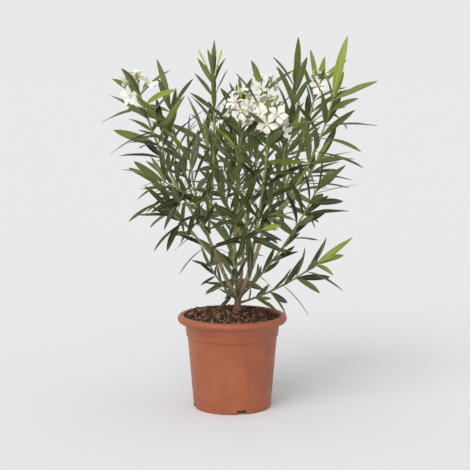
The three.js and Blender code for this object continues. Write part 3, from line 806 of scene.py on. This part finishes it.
def leaf_rings(leaves):
    """The rings of a batch of leaves, each folded along its rib, bowed, twisted and drooping a little."""
    root, along, facing, side = (np.array([getattr(leaf, key) for leaf in leaves])[:, None]
                                 for key in ("root", "along", "facing", "side"))
    length, bow, age = (np.array([getattr(leaf, key) for leaf in leaves])[:, None, None]
                        for key in ("length", "bow", "age"))
    each = (len(leaves), 1, 1)
    droop = rng.uniform(*DROOP_DRAW, each) * (DROOP_FADE - age)
    sway = rng.normal(0, SWAY, each)
    twist = rng.normal(0, TWIST, each)
    fold = rng.uniform(*FOLD_DRAW, each)
    wave = rng.uniform(*WAVE_DRAW, each)
    phase = rng.uniform(0, 2 * math.pi, each)
    breadth = rng.uniform(*BREADTH_DRAW, each)

    t = LEAF_ROWS[:, None]
    spine = (root + along * length * t
             + facing * length * (bow * 4 * t * (1 - t) - droop * np.abs(t) ** DROOP_POWER)
             + side * (length * sway) * 4 * t * (1 - t))
    ahead = unit(np.gradient(spine, axis=1))
    flat = unit(side - ahead * (side * ahead).sum(-1, keepdims=True))
    upright = np.cross(flat, ahead)
    turn = twist * t
    across = flat * np.cos(turn) + upright * np.sin(turn)
    over = upright * np.cos(turn) - flat * np.sin(turn)

    half = leaf_half_widths(length * breadth)
    is_rib = np.abs(LEAF_COLUMNS) < RIB_COLUMN
    rib = np.minimum(RIB_HALF * (RIB_HALF_FADE - t), half / 2)
    x = np.where(is_rib, np.sign(LEAF_COLUMNS) * rib, LEAF_COLUMNS * half)
    lift = np.abs(x) * np.tan(fold) - EDGE_CURL * half * np.abs(x / half) ** 3
    lift = lift + wave * np.sin(2 * math.pi * WAVES * t + phase) * np.abs(LEAF_COLUMNS) * (half > WAVED_HALF)
    depth = BLADE_THICK + is_rib * RIB_DEEP * (RIB_DEEP_FADE - np.clip(t, 0, 1))
    z = lift - LEAF_LOWER * np.minimum(depth, half * MOST_THICK)
    return spine[:, :, None] + across[:, :, None] * x[..., None] + over[:, :, None] * z[..., None]


def leaf_slots(leaves, tints):
    """The slot of each column of each leaf: its tint above, a pale rib, and the underside."""
    fresh = tints >= LEAF_NAMES.index("leaf_fresh")
    rib = np.where(fresh, LEAF_NAMES.index("rib_fresh"), LEAF_NAMES.index("rib_dark"))
    under = np.where(fresh, LEAF_NAMES.index("under_fresh"), LEAF_NAMES.index("under_dark"))
    slots = np.empty((len(leaves), len(LEAF_COLUMNS)), int)
    slots[:, :UPPER_FACES] = tints[:, None]
    slots[:, UPPER_FACES:] = under[:, None]
    slots[:, RIB_FACES] = rib[:, None]
    return np.repeat(slots[:, None], len(LEAF_ROWS) - 1, axis=1)


# A leaf's tint is a number from deep to young, from where it is and the luck of its whorl. It goes darker
# towards the crown's inside as painted shade, lighter towards its outside and top as painted light, and
# lighter at the shoots' tips, where the leaves are young.
CROWN_MIDDLE = np.array([20, 0, 470])
CROWN_HALF = np.array([300, 265, 330])
TINT_INSIDE = -0.4
TINT_OUT = 1.35
TINT_TIP = 1.2
TINT_HIGH = 0.7
TINT_LUCK = 0.6


def dealt_tints(leaves):
    """Each leaf's tint, one per whorl: painted light out and up top, painted shade inside, fresher at the
    tips.
    """
    middles = np.array([on_leaf(leaf, 0.6) for leaf in leaves])
    outness = np.linalg.norm((middles - CROWN_MIDDLE) / CROWN_HALF, axis=1)
    luck = {}
    level = []
    for leaf, out in zip(leaves, outness):
        key = (round(leaf.root[0], 1), round(leaf.root[2], 1))
        if key not in luck:
            luck[key] = rng.normal(0, TINT_LUCK)
        high = (leaf.root[2] - CROWN_MIDDLE[2]) / CROWN_HALF[2]
        place = TINT_INSIDE + TINT_OUT * out + TINT_TIP * leaf.age ** 3 + TINT_HIGH * high
        level.append(place + luck[key])
    return np.clip(np.round(level), 0, YOUNGEST).astype(int)


def make_leaves(title, names, grown, materials):
    leaves = [leaf for name in names for leaf in grown[name]["leaves"]]
    tints = dealt_tints(leaves)
    pile = Pile()
    pile.add_skins(leaf_rings(leaves), leaf_slots(leaves, tints))
    piece = pile.piece(title, materials, sharp=50)
    finished(piece, "foliage", *[f"foliage_{name}" for name in names])


# Stems and twigs, swollen where the whorls stand, with a collar at the foot
RIPPLE_LOBES = 3
RIPPLE_TURN = 5
STEM_STEP = 3.2
COLLAR_REACH = 14
NODE_SWELL = 0.13
NODE_REACH = 2.2


def tube_rings(path, places, radii, columns, ripple):
    """Rings round a limb's path at places along it, each a share of its length."""
    ahead = path.tangent(places)
    across = np.cross(ahead, path.side)
    turn = ring_angles(columns)
    out = path.side * np.cos(turn)[:, None] + across[:, None] * np.sin(turn)[:, None]
    waver = 1 + ripple * np.sin(RIPPLE_LOBES * turn + RIPPLE_TURN * places[:, None])
    return (path.at(places)[:, None] + out * (radii[:, None] * waver)[..., None])[None]


def node_places(path, bare):
    """Where the whorls stand along a stem."""
    places = []
    place = bare
    while place < path.length:
        places.append(place / path.length)
        place += blend(*SPACING, places[-1])
    return places


def add_stem(pile, path, foot, tip, bare, collar, woody=0, columns=10, **others):
    """A tapering stem that starts as thick as what it leaves, with a small swelling at each whorl."""
    places = np.linspace(0, 1, max(6, int(path.length / STEM_STEP)))
    radii = blend(foot, tip, places) + (collar - foot) * bump(places * path.length, 0, COLLAR_REACH)
    for node in node_places(path, bare):
        radii = radii * (1 + NODE_SWELL * bump(places * path.length, node * path.length, NODE_REACH))
    slots = np.where(places[:-1] * path.length < woody, 0, 1)[None, :, None]
    pile.add_skins(tube_rings(path, places, radii, columns, ripple=0.05), slots)


def make_twigs(grown):
    pile = Pile()
    for name, limb in grown.items():
        size = SHOOTS[name]
        parent = BOUGHS.get(size["parent"])
        stem = dict(BOUGH_STEM, collar=parent["tip"]) if parent else LOW_STEM
        add_stem(pile, limb["path"], bare=size["bare"], **stem)
        for twig in limb["twigs"]:
            add_stem(pile, twig, **TWIG)
        for twig in limb["fine"]:
            add_stem(pile, twig, **FINE_TWIG)
    woody = twig_material("twig_woody", (124, 112, 80), (152, 140, 104), (96, 80, 56))
    green = twig_material("twig_green", (112, 126, 68), (158, 168, 108), (126, 112, 76))
    finished(pile.piece("twigs", [woody, green]), "bark")


# The bark, with ring scars, and its relief in millimetres: long furrows, finer cracks and lumps. A layer
# has its scale across and along a limb, its height and where its noise starts.
BARK_STEP = 1.5
BARK_VOXEL = 0.9
BARK_SMOOTHING = 5
BARK_SHARP = 80
SCAR_SPACING = 27
FIRST_SCAR = 0.6
SCAR_SWELL = 0.10
SCAR_REACH = 1.8
BARK_LAYERS = ((0.42, 0.06, 0.55, 0), (1.3, 0.35, 0.22, 40), (0.11, 0.09, 0.7, 80))


def limb_radii(name, places, length):
    size = BOUGHS.get(name, TRUNK)
    radii = blend(size["foot"], size["tip"], places)
    if name == "trunk":
        radii = radii * (1 + (TRUNK_FLARE - 1) * np.clip(1 - places / FLARE_SHARE, 0, None) ** 2)
    for scar in np.arange(SCAR_SPACING * FIRST_SCAR, length, SCAR_SPACING):
        radii = radii * (1 + SCAR_SWELL * bump(places * length, scar, SCAR_REACH))
    return radii


def relief_at(x, y, z):
    return sum(height * noise.noise((x * across, y * across, z * along + start))
               for across, along, height, start in BARK_LAYERS)


def modify(piece, kind, **settings):
    """Changes a piece's mesh by one modifier."""
    modifier = piece.modifiers.new(kind, kind)
    for name, setting in settings.items():
        setattr(modifier, name, setting)
    evaluated = piece.evaluated_get(bpy.context.evaluated_depsgraph_get())
    mesh = bpy.data.meshes.new_from_object(evaluated)
    piece.modifiers.clear()
    piece.data = mesh


def bark_relief(mesh):
    """Pushes the bark out and in."""
    places = np.empty(len(mesh.vertices) * 3, np.float32)
    mesh.vertices.foreach_get("co", places)
    places = places.reshape(-1, 3) / MM
    normals = np.empty(len(mesh.vertices) * 3, np.float32)
    mesh.vertex_normals.foreach_get("vector", normals)
    depths = [relief_at(*place) for place in places]
    places += normals.reshape(-1, 3) * np.array(depths)[:, None]
    mesh.vertices.foreach_set("co", (places * MM).ravel())


def make_bark():
    """The trunk and boughs welded into one skin, so that each fork has its own fillet."""
    pile = Pile()
    for name in LIMBS:
        path = PATHS[name]
        places = np.linspace(0, 1, max(12, int(path.length / BARK_STEP)))
        radii = limb_radii(name, places, path.length)
        pile.add_skins(tube_rings(path, places, radii, columns=20, ripple=0.06))
    bark = pile.piece("bark", [bark_material()])
    modify(bark, "REMESH", mode="VOXEL", voxel_size=BARK_VOXEL * MM)
    modify(bark, "SMOOTH", factor=0.5, iterations=BARK_SMOOTHING)
    bark_relief(bark.data)
    smoothed(bark.data, BARK_SHARP)
    finished(bark, "bark", "trunk", *[f"bough_{name}" for name in BOUGHS])


# A flower's five petals, blunt, cupped and ruffled, with a throat and a tuft of threads in the middle.
# Turned forms are lists of heights and radii.
PETAL_ROWS = np.array([0.0, 0.08, 0.2, 0.34, 0.5, 0.66, 0.8, 0.91, 1.0])
PETAL_COLUMNS = np.array([-1, -0.5, 0, 0.5, 1, 0.5, 0, -0.5])
PETAL_LOWER = np.array([0.5, 0, 0, 0, 0.5, 1, 1, 1])
PETAL_HALF = 9.2
PETAL_CLAW = 1.5
PETAL_SIZE_DRAW = (0.9, 1.0)
PETAL_WIDENING = 1.12
WIDENING_POWER = 1.25
PETAL_THICK = 0.35
PETAL_SKEW = 0.17
PETAL_POINT = 0.78
PETAL_POINT_FROM = 0.55
POINT_POWER = 1.5
CUP_DRAW = (0.05, 0.45)
LIFT_DRAW = (6, 10)
FALL_DRAW = (1, 8)
FALL_POWER = 2.5
TILT = 2.4
RUFFLE = 1.3
RUFFLES = 8
THROAT_RADIUS = 2.4
THROAT_LOW = 4
THROAT_DEEP = 12
FUNNEL = ([0, 3, 7, 10, 11.5], [0.9, 1.2, 2.1, 3.2, 3.0])
THREADS = 15
THREADS_RADIUS = 2.6
THREADS_LOW = 2.5
THREAD_RADII = [0.45, 0.35, 0.1]
THREAD_LEAN_DRAW = (0.1, 0.5)
THREAD_LENGTH_DRAW = (3.5, 5.5)
FLOWER_STALK = [1.1, 0.9, 0.9, 1.0, 1.5]
CALYX = ([-1, 1, 3, 5], [0.8, 1.9, 2.1, 1.5], 0.15)
BUD_STALK = [1, 0.8, 0.8, 1.1]
BUD_STALK_SHARE = 0.42
BUD_CALYX = ([-1, 1, 3, 6], [0.7, 1.7, 1.9, 1.2], 0.2)
BUD_RADIUS = 2.7
BUD_RADIUS_DRAW = (0.75, 1.05)
BUD_FOOT = 0.35
BUD_SWELL_POWER = 1.6
BUD_POINT_POWER = 7
BUD_LOBES = dict(lobes=5, depth=0.12, twist=0.22)
# The flowers' slots. The second is a painted shade for the petals' undersides.
FLOWER_SLOTS = ["petal", "petal_painted_shade", "throat"]
BUD_TINTS = ["bud_green", "bud_blush"]


def frame_round(along):
    """Two directions square to this one and to each other."""
    first = unit(np.cross(along, UP if abs(along[2]) < 0.9 else np.array([1.0, 0, 0])))
    return first, np.cross(along, first)


def petal_rings(bloom, turns):
    """The rings of a flower's petals, blunt at the tip and longer on one side."""
    u = PETAL_ROWS[:, None]
    v = PETAL_COLUMNS
    each = (len(turns), 1, 1)
    widening = np.sin(np.clip(u * PETAL_WIDENING, 0, 1) ** WIDENING_POWER * math.pi / 2)
    pointing = np.clip((u - PETAL_POINT_FROM) / (1 - PETAL_POINT_FROM), 0, 1) ** POINT_POWER
    half = (PETAL_CLAW + (PETAL_HALF - PETAL_CLAW) * widening) * (1 - PETAL_POINT * pointing)
    size = rng.uniform(*PETAL_SIZE_DRAW, each)
    cup = rng.uniform(*CUP_DRAW, each)
    lift = rng.uniform(*LIFT_DRAW, each)
    fall = rng.uniform(*FALL_DRAW, each)
    tilt = rng.normal(0, TILT, each)
    phase = rng.uniform(0, 6, each)
    reach = THROAT_RADIUS + (FLOWER_RADIUS * size - THROAT_RADIUS) * u * (1 - PETAL_SKEW * (v + 1) / 2 * u)
    rise = bloom["length"] - THROAT_LOW + lift * u - fall * u ** FALL_POWER
    rise = rise + cup * half * v * v + tilt * v * u
    rise = rise + RUFFLE * np.sin(u * RUFFLES + v + phase) * np.abs(v) * u
    rise = rise - PETAL_LOWER * PETAL_THICK
    along = bloom["along"]
    first, last = frame_round(along)
    out = first * np.cos(turns)[:, None] + last * np.sin(turns)[:, None]
    side = np.cross(out, along)
    return (bloom["root"] + out[:, None, None] * reach[..., None]
            + side[:, None, None] * (half * v)[..., None] + along * rise[..., None])


def turned_rings(root, along, heights, radii, columns, lobes=0, depth=0.0, twist=0.0):
    """A turned form round a straight axis, with lobes that may wind round it."""
    first, last = frame_round(along)
    turn = ring_angles(columns)
    heights = np.asarray(heights, float)
    radii = np.asarray(radii, float)
    wave = 1 + depth * np.cos(lobes * turn + twist * heights[:, None])
    out = first * np.cos(turn)[:, None] + last * np.sin(turn)[:, None]
    rings = root + along * heights[:, None, None] + out * (radii[:, None] * wave)[..., None]
    return rings[None]


def add_stalk(greens, bloom, length, stalk, calyx):
    """A stalk in the first of the green slots, with a five-lobed calyx in the second."""
    root, along = bloom["root"], bloom["along"]
    heights, radii, depth = calyx
    greens.add_skins(turned_rings(root, along, np.linspace(0, length, len(stalk)), stalk, 7))
    rings = turned_rings(root, along, length + np.array(heights), radii, 10, lobes=5, depth=depth)
    greens.add_skins(rings, 1)


def add_flower(flowers, greens, bloom):
    root, along, length = bloom["root"], bloom["along"], bloom["length"]
    throat = FLOWER_SLOTS.index("throat")
    turns = ring_angles(PETALS) + rng.uniform(0, 2 * math.pi)
    slots = np.zeros((PETALS, len(PETAL_ROWS) - 1, len(PETAL_COLUMNS)), int)
    # The petals' undersides take a darker copy of their white, a painted shade
    slots[:, :, PETAL_LOWER == 1] = FLOWER_SLOTS.index("petal_painted_shade")
    slots[:, :1] = throat
    flowers.add_skins(petal_rings(bloom, turns), slots)
    heights, radii = FUNNEL
    funnel = turned_rings(root, along, length - THROAT_DEEP + np.array(heights), radii, 10)
    flowers.add_skins(funnel, throat)
    first, last = frame_round(along)
    for turn in ring_angles(THREADS) + rng.uniform(0, 1):
        out = first * math.cos(turn) + last * math.sin(turn)
        tip = unit(along + out * rng.uniform(*THREAD_LEAN_DRAW))
        foot = root + along * (length - THREADS_LOW) + out * THREADS_RADIUS
        heights = [0, 2, rng.uniform(*THREAD_LENGTH_DRAW)]
        flowers.add_skins(turned_rings(foot, tip, heights, THREAD_RADII, 4))
    add_stalk(greens, bloom, length - THROAT_DEEP, FLOWER_STALK, CALYX)


def add_bud(buds, greens, bloom):
    """A slender bud, wound like a furled umbrella."""
    stalk = bloom["length"] * BUD_STALK_SHARE
    add_stalk(greens, bloom, stalk, BUD_STALK, BUD_CALYX)
    share = np.linspace(0, 1, 12)
    swelling = BUD_FOOT + (1 - BUD_FOOT) * np.sin(math.pi * share ** BUD_SWELL_POWER)
    radii = BUD_RADIUS * rng.uniform(*BUD_RADIUS_DRAW) * swelling * (1 - share ** BUD_POINT_POWER)
    heights = stalk + 1 + (bloom["length"] - stalk - 1) * share
    rings = turned_rings(bloom["root"], bloom["along"], heights, radii, 12, **BUD_LOBES)
    buds.add_skins(rings, BUD_TINTS.index(bloom["tint"]))


def make_heads(grown):
    flowers, greens, buds = Pile(), Pile(), Pile()
    for limb in grown.values():
        for bloom in limb["head"]:
            if bloom["open"]:
                add_flower(flowers, greens, bloom)
            else:
                add_bud(buds, greens, bloom)
    # The second white is the petals' own white darkened, a painted shade for their undersides
    white = [plain("petal", (226, 222, 211), 0.6, 0.3), plain("petal_painted_shade", (215, 211, 197), 0.6, 0.3),
             plain("throat", (208, 204, 160), 0.6)]
    green = [plain("stalk", (152, 164, 84)), plain("calyx", (128, 138, 66))]
    tints = [plain("bud_green", (178, 186, 104)), plain("bud_blush", (222, 206, 168))]
    finished(flowers.piece("flowers", white, sharp=60), "foliage")
    finished(greens.piece("flower_stalks", green), "foliage")
    finished(buds.piece("buds", tints), "foliage")


# The pot
def arc(centre, radius, first, last, steps):
    """Points on an arc of the profile, between angles in degrees from the outward direction."""
    turns = np.radians(np.linspace(first, last, steps + 1))
    return [(centre[0] + radius * math.cos(turn), centre[1] + radius * math.sin(turn)) for turn in turns]


def line(first, last, steps, ease=False):
    """Points on a straight line, or on one that is eased to start and end upright."""
    shares = np.linspace(0, 1, steps + 1)
    across = shares * shares * (3 - 2 * shares) if ease else shares
    return list(zip(blend(first[0], last[0], across), blend(first[1], last[1], shares)))


def pot_outer_profile():
    """The pot's outside, from its foot to the top of its rim."""
    roll = RIM_HEIGHT / 2
    wall_top = (WALL_TOP_RADIUS, COLLAR_FOOT_Z - EASE_BELOW)
    collar_foot = (COLLAR_FOOT_RADIUS, COLLAR_FOOT_Z + EASE_ABOVE)
    collar_top = (COLLAR_TOP_RADIUS, RIM_FOOT_Z - RIM_FILLET)
    fillet_middle = (COLLAR_TOP_RADIUS + RIM_FILLET, RIM_FOOT_Z - RIM_FILLET)
    points = arc((FOOT_RADIUS - FOOT_ROUND, FOOT_ROUND), FOOT_ROUND, -90, 0, steps=4)
    points += line((FOOT_RADIUS, FOOT_ROUND), wall_top, steps=10)[1:]
    points += line(wall_top, collar_foot, steps=8, ease=True)[1:-1]
    points += line(collar_foot, collar_top, steps=3)
    points += arc(fillet_middle, RIM_FILLET, 180, 90, steps=3)[1:]
    points += arc((RIM_RADIUS - roll, POT_HEIGHT - roll), roll, -90, 90, steps=18)
    return points


def pot_inner_profile(inset):
    points = arc((RIM_MOUTH_RADIUS + RIM_LIP, POT_HEIGHT - RIM_LIP), RIM_LIP + inset, 90, 180, steps=6)
    points += [(COLLAR_TOP_RADIUS - WALL - inset, RIM_FOOT_Z)]
    points += [(WALL_TOP_RADIUS - WALL - inset, COLLAR_FOOT_Z)]
    points += [(FOOT_RADIUS - WALL - inset, FLOOR + inset)]
    return points


def lathe_rings(profile, segments):
    turn = ring_angles(segments)
    profile = np.array(profile)
    rings = np.empty((1, len(profile), segments, 3))
    rings[0, ..., 0] = profile[:, :1] * np.cos(turn)
    rings[0, ..., 1] = profile[:, :1] * np.sin(turn)
    rings[0, ..., 2] = profile[:, 1:]
    return rings


def lathed(name, profile, materials=()):
    pile = Pile()
    pile.add_skins(lathe_rings(profile, POT_SEGMENTS))
    return pile.piece(name, materials, POT_SHARP)


def notch_blocks(name, extra):
    """Blocks that reach in from the foot of the wall, wider by extra on every side."""
    wide = NOTCH_WIDTH / 2 + extra
    narrow = NOTCH_TOP_WIDTH / 2 + extra
    top = NOTCH_HEIGHT + extra
    corners = [(-wide, -BEYOND), (wide, -BEYOND), (narrow, top), (-narrow, top)]
    pile = Pile()
    for index in range(NOTCHES):
        turn = math.radians(FIRST_NOTCH_DEG - 90 + index * 360 / NOTCHES)
        out = np.array([math.cos(turn), math.sin(turn), 0])
        side = np.array([-out[1], out[0], 0])
        section = np.array([side * x + UP * z for x, z in corners])
        near = section + out * (FOOT_RADIUS - NOTCH_DEPTH - extra)
        far = section + out * (FOOT_RADIUS + BEYOND)
        pile.add_skins(np.array([[near, far]]))
    return pile.piece(name, [])


def carved(piece, tool, operation):
    modify(piece, "BOOLEAN", object=tool, operation=operation, solver="EXACT")
    bpy.data.objects.remove(tool)
    return piece


def make_pot():
    """The pot, with a recess behind each notch in its foot."""
    outer = pot_outer_profile()
    plastic = plastic_material()
    pot = lathed("pot_shell", outer + pot_inner_profile(0), [plastic])
    linings = carved(notch_blocks("linings", WALL), lathed("pot_body", outer), "INTERSECT")
    pot = carved(pot, linings, "UNION")
    pot = carved(pot, notch_blocks("notches", 0), "DIFFERENCE")
    smoothed(pot.data, POT_SHARP)
    finished(pot, "pot", "pot")


# The soil
def soil_height(x, y):
    """The compost's surface: it rises a little towards the trunk, in lumps."""
    radius = math.hypot(x, y)
    share = min(1, max(0, (radius - SOIL_TOP_RADIUS) / (RIM_MOUTH_RADIUS - SOIL_TOP_RADIUS)))
    swell = noise.noise(Vector((x * SWELL_SCALE, y * SWELL_SCALE, 3)))
    lumps = noise.fractal(Vector((x * LUMP_SCALE, y * LUMP_SCALE, 7)), *LUMP_LAYERS)
    level = blend(SOIL_TOP_Z, SOIL_EDGE_Z, share) + (SOIL_SLOPE_X * x + SOIL_SLOPE_Y * y)
    return level + SOIL_RELIEF * (SWELL_SHARE * swell + LUMP_SHARE * lumps) - SOIL_SINK


def soil_radius_at(z):
    """How far out the compost reaches at a height inside the pot's mouth."""
    share = np.clip((z - RIM_FOOT_Z) / (POT_HEIGHT - RIM_LIP - RIM_FOOT_Z), 0, 1)
    return blend(COLLAR_TOP_RADIUS - WALL, RIM_MOUTH_RADIUS, share) - SOIL_INSET


def make_soil():
    radii = soil_radius_at(POT_HEIGHT) * np.linspace(1, 0.01, SOIL_ROWS) ** 0.8
    collar, wall_top, wall_foot = pot_inner_profile(SOIL_INSET)[-3:]
    share = (SOIL_FOOT_Z - wall_foot[1]) / (wall_top[1] - wall_foot[1])
    sides = [(blend(wall_foot[0], wall_top[0], share), SOIL_FOOT_Z), wall_top, collar]
    rings = lathe_rings(sides + [(radius, 0) for radius in radii], SOIL_SEGMENTS)
    top = rings[0, len(sides):]
    top[..., 2] = [[soil_height(x, y) for x, y, _ in row] for row in top]
    reach = np.hypot(top[..., 0], top[..., 1])
    top[..., :2] *= np.minimum(1, soil_radius_at(top[..., 2]) / reach)[..., None]
    pile = Pile()
    pile.add_skins(rings)
    finished(pile.piece("soil_bed", [soil_material()], sharp=70), "soil", "soil")


def scattered(count, margin, lean=0.0):
    """Places spread over the soil, clear of the trunk, evenly or with more of them towards -X and -Y."""
    radius = (soil_radius_at(SOIL_EDGE_Z) - margin) * np.sqrt(rng.uniform(0, 1, count))
    turn = rng.uniform(0, 2 * math.pi, count)
    places = np.stack([radius * np.cos(turn), radius * np.sin(turn)], axis=1)
    away = np.linalg.norm(places - np.array(TRUNK["start"][:2]), axis=1)
    share = 1 - lean * (1 + places.sum(axis=1) / RIM_MOUTH_RADIUS)
    return places[(away > TRUNK["foot"] + TRUNK_MARGIN) & (rng.uniform(0, 1, count) < share)]


def turned_and_tilted(spin, tilt):
    """A matrix that turns a lump by an angle and leans it by two slopes."""
    cos, sin = math.cos(spin), math.sin(spin)
    flat = np.array([[cos, -sin, 0], [sin, cos, 0], [0, 0, 1]])
    lean = np.array([[1, 0, tilt[0]], [0, 1, tilt[1]], [-tilt[0], -tilt[1], 1]])
    return flat @ (lean / np.linalg.norm(lean, axis=0))


def lumps_on_soil(places, sizes, flatness, columns, lift, rows=4):
    """Small uneven lumps, each turned its own way and half sunk in the soil."""
    count = len(places)
    heights = np.array([soil_height(x, y) for x, y in places]) + sizes * lift
    polar = np.linspace(-1, 1, rows)[:, None]
    turn = ring_angles(columns) + rng.uniform(0, 6, (count, 1, 1))
    rough = rng.uniform(*LITTER_ROUGH_DRAW, (count, rows, columns))
    width = np.sqrt(1 - (LITTER_ROUND * polar) ** 2) * rough
    local = np.stack([width * np.cos(turn) * flatness[0], width * np.sin(turn) * flatness[1],
                      (polar * rough) * flatness[2]], axis=-1) * sizes[:, None, None, None]
    tilt = rng.normal(0, LITTER_TILT, (count, 2))
    spin = rng.uniform(0, 2 * math.pi, count)
    lumps = np.stack([local[i] @ turned_and_tilted(spin[i], tilt[i]).T for i in range(count)])
    return lumps + np.column_stack([places, heights])[:, None, None]


def strew(name, places, sizes, colours, sharp, **shape):
    """Loose bits of one kind, each in one of the kind's colours."""
    pile = Pile()
    rings = lumps_on_soil(places, sizes, **shape)
    pile.add_skins(rings, rng.integers(0, len(colours), (len(places), 1, 1)))
    materials = [crumb_material(title, *tones) for title, tones in colours.items()]
    finished(pile.piece(name, materials, sharp), "soil")


CRUMB_COLOURS = {"crumb_dark": ((36, 24, 17), (62, 43, 31)), "crumb_brown": ((60, 42, 30), (102, 73, 52))}
CHIP_COLOURS = {"chip_red": ((92, 60, 40), (142, 98, 66)), "chip_tan": ((98, 72, 52), (142, 110, 80))}
BIT_COLOURS = {"pale_bit": ((140, 112, 84), (188, 164, 132))}


def make_litter():
    """Crumbs of compost, chips of bark and pale bits of wood on the soil."""
    places = scattered(3200, margin=5)
    sizes = rng.gamma(3, 0.62, len(places)).clip(0.6, 5.5)
    shape = dict(flatness=(1, 0.85, 0.7), columns=6, lift=0.15)
    strew("soil_crumbs", places, sizes, CRUMB_COLOURS, sharp=60, **shape)

    places = scattered(340, LITTER_MARGIN, LITTER_LEAN)
    sizes = rng.uniform(1.6, 5.2, len(places))
    shape = dict(flatness=(1.35, 0.85, 0.4), columns=8, lift=0.3)
    strew("bark_chips", places, sizes, CHIP_COLOURS, sharp=35, **shape)

    places = scattered(110, LITTER_MARGIN, LITTER_LEAN)
    sizes = rng.uniform(0.9, 2.8, len(places))
    shape = dict(flatness=(1.2, 0.9, 0.6), columns=7, lift=0.5)
    strew("pale_bits", places, sizes, BIT_COLOURS, sharp=40, **shape)


# Studio
def add_floor():
    half = FLOOR_SIDE / 2 * MM
    corners = [(-half, -half, 0), (half, -half, 0), (half, half, 0), (-half, half, 0)]
    mesh = bpy.data.meshes.new("floor")
    mesh.from_pydata(corners, [], [(0, 1, 2, 3)])
    mesh.materials.append(plain("floor", FLOOR_COLOUR, 1.0, 0.0))
    floor = placed("floor", mesh)


def add_sun(name, strength, angle, turn):
    light = bpy.data.lights.new(name, "SUN")
    light.energy = strength
    light.angle = math.radians(angle)
    placed(name, light).rotation_euler = [math.radians(degrees) for degrees in turn]


def add_surround():
    world = bpy.data.worlds.new("surround")
    world.use_nodes = True
    world.node_tree.nodes["Background"].inputs["Color"].default_value = (*SURROUND, 1)
    bpy.context.scene.world = world


def add_camera():
    camera = placed("camera", bpy.data.cameras.new("camera"))
    camera.data.sensor_width = SENSOR
    camera.data.lens = FOCAL
    camera.location = Vector(CAMERA_PLACE) * MM
    camera.rotation_euler = (math.radians(90 - CAMERA_PITCH), 0, 0)
    bpy.context.scene.camera = camera


# Everything, from the camera to the leaves
LEAF_PIECES = {
    "leaves_left": "left_side left_flower left_top left_back left_front low_left",
    "leaves_middle": "centre_flower centre_top front_flower front_low back_flower back_left low_back"
                     " low_front low_middle",
    "leaves_right": "right_top right_head right_inner right_side back_right right_mid right_low",
}


def main():
    add_camera()
    add_surround()
    add_sun("key", **KEY)
    add_sun("fill", **FILL)
    add_floor()
    bpy.context.scene.view_settings.view_transform = "Standard"
    make_pot()
    make_soil()
    make_litter()
    make_bark()
    grown = {name: grow_shoot(name) for name in SHOOTS}
    make_twigs(grown)
    materials = [plain(name, colour, 0.4, 0.34) for name, colour in LEAF_COLOURS.items()]
    for title, names in LEAF_PIECES.items():
        make_leaves(title, names.split(), grown, materials)
    make_heads(grown)


main()
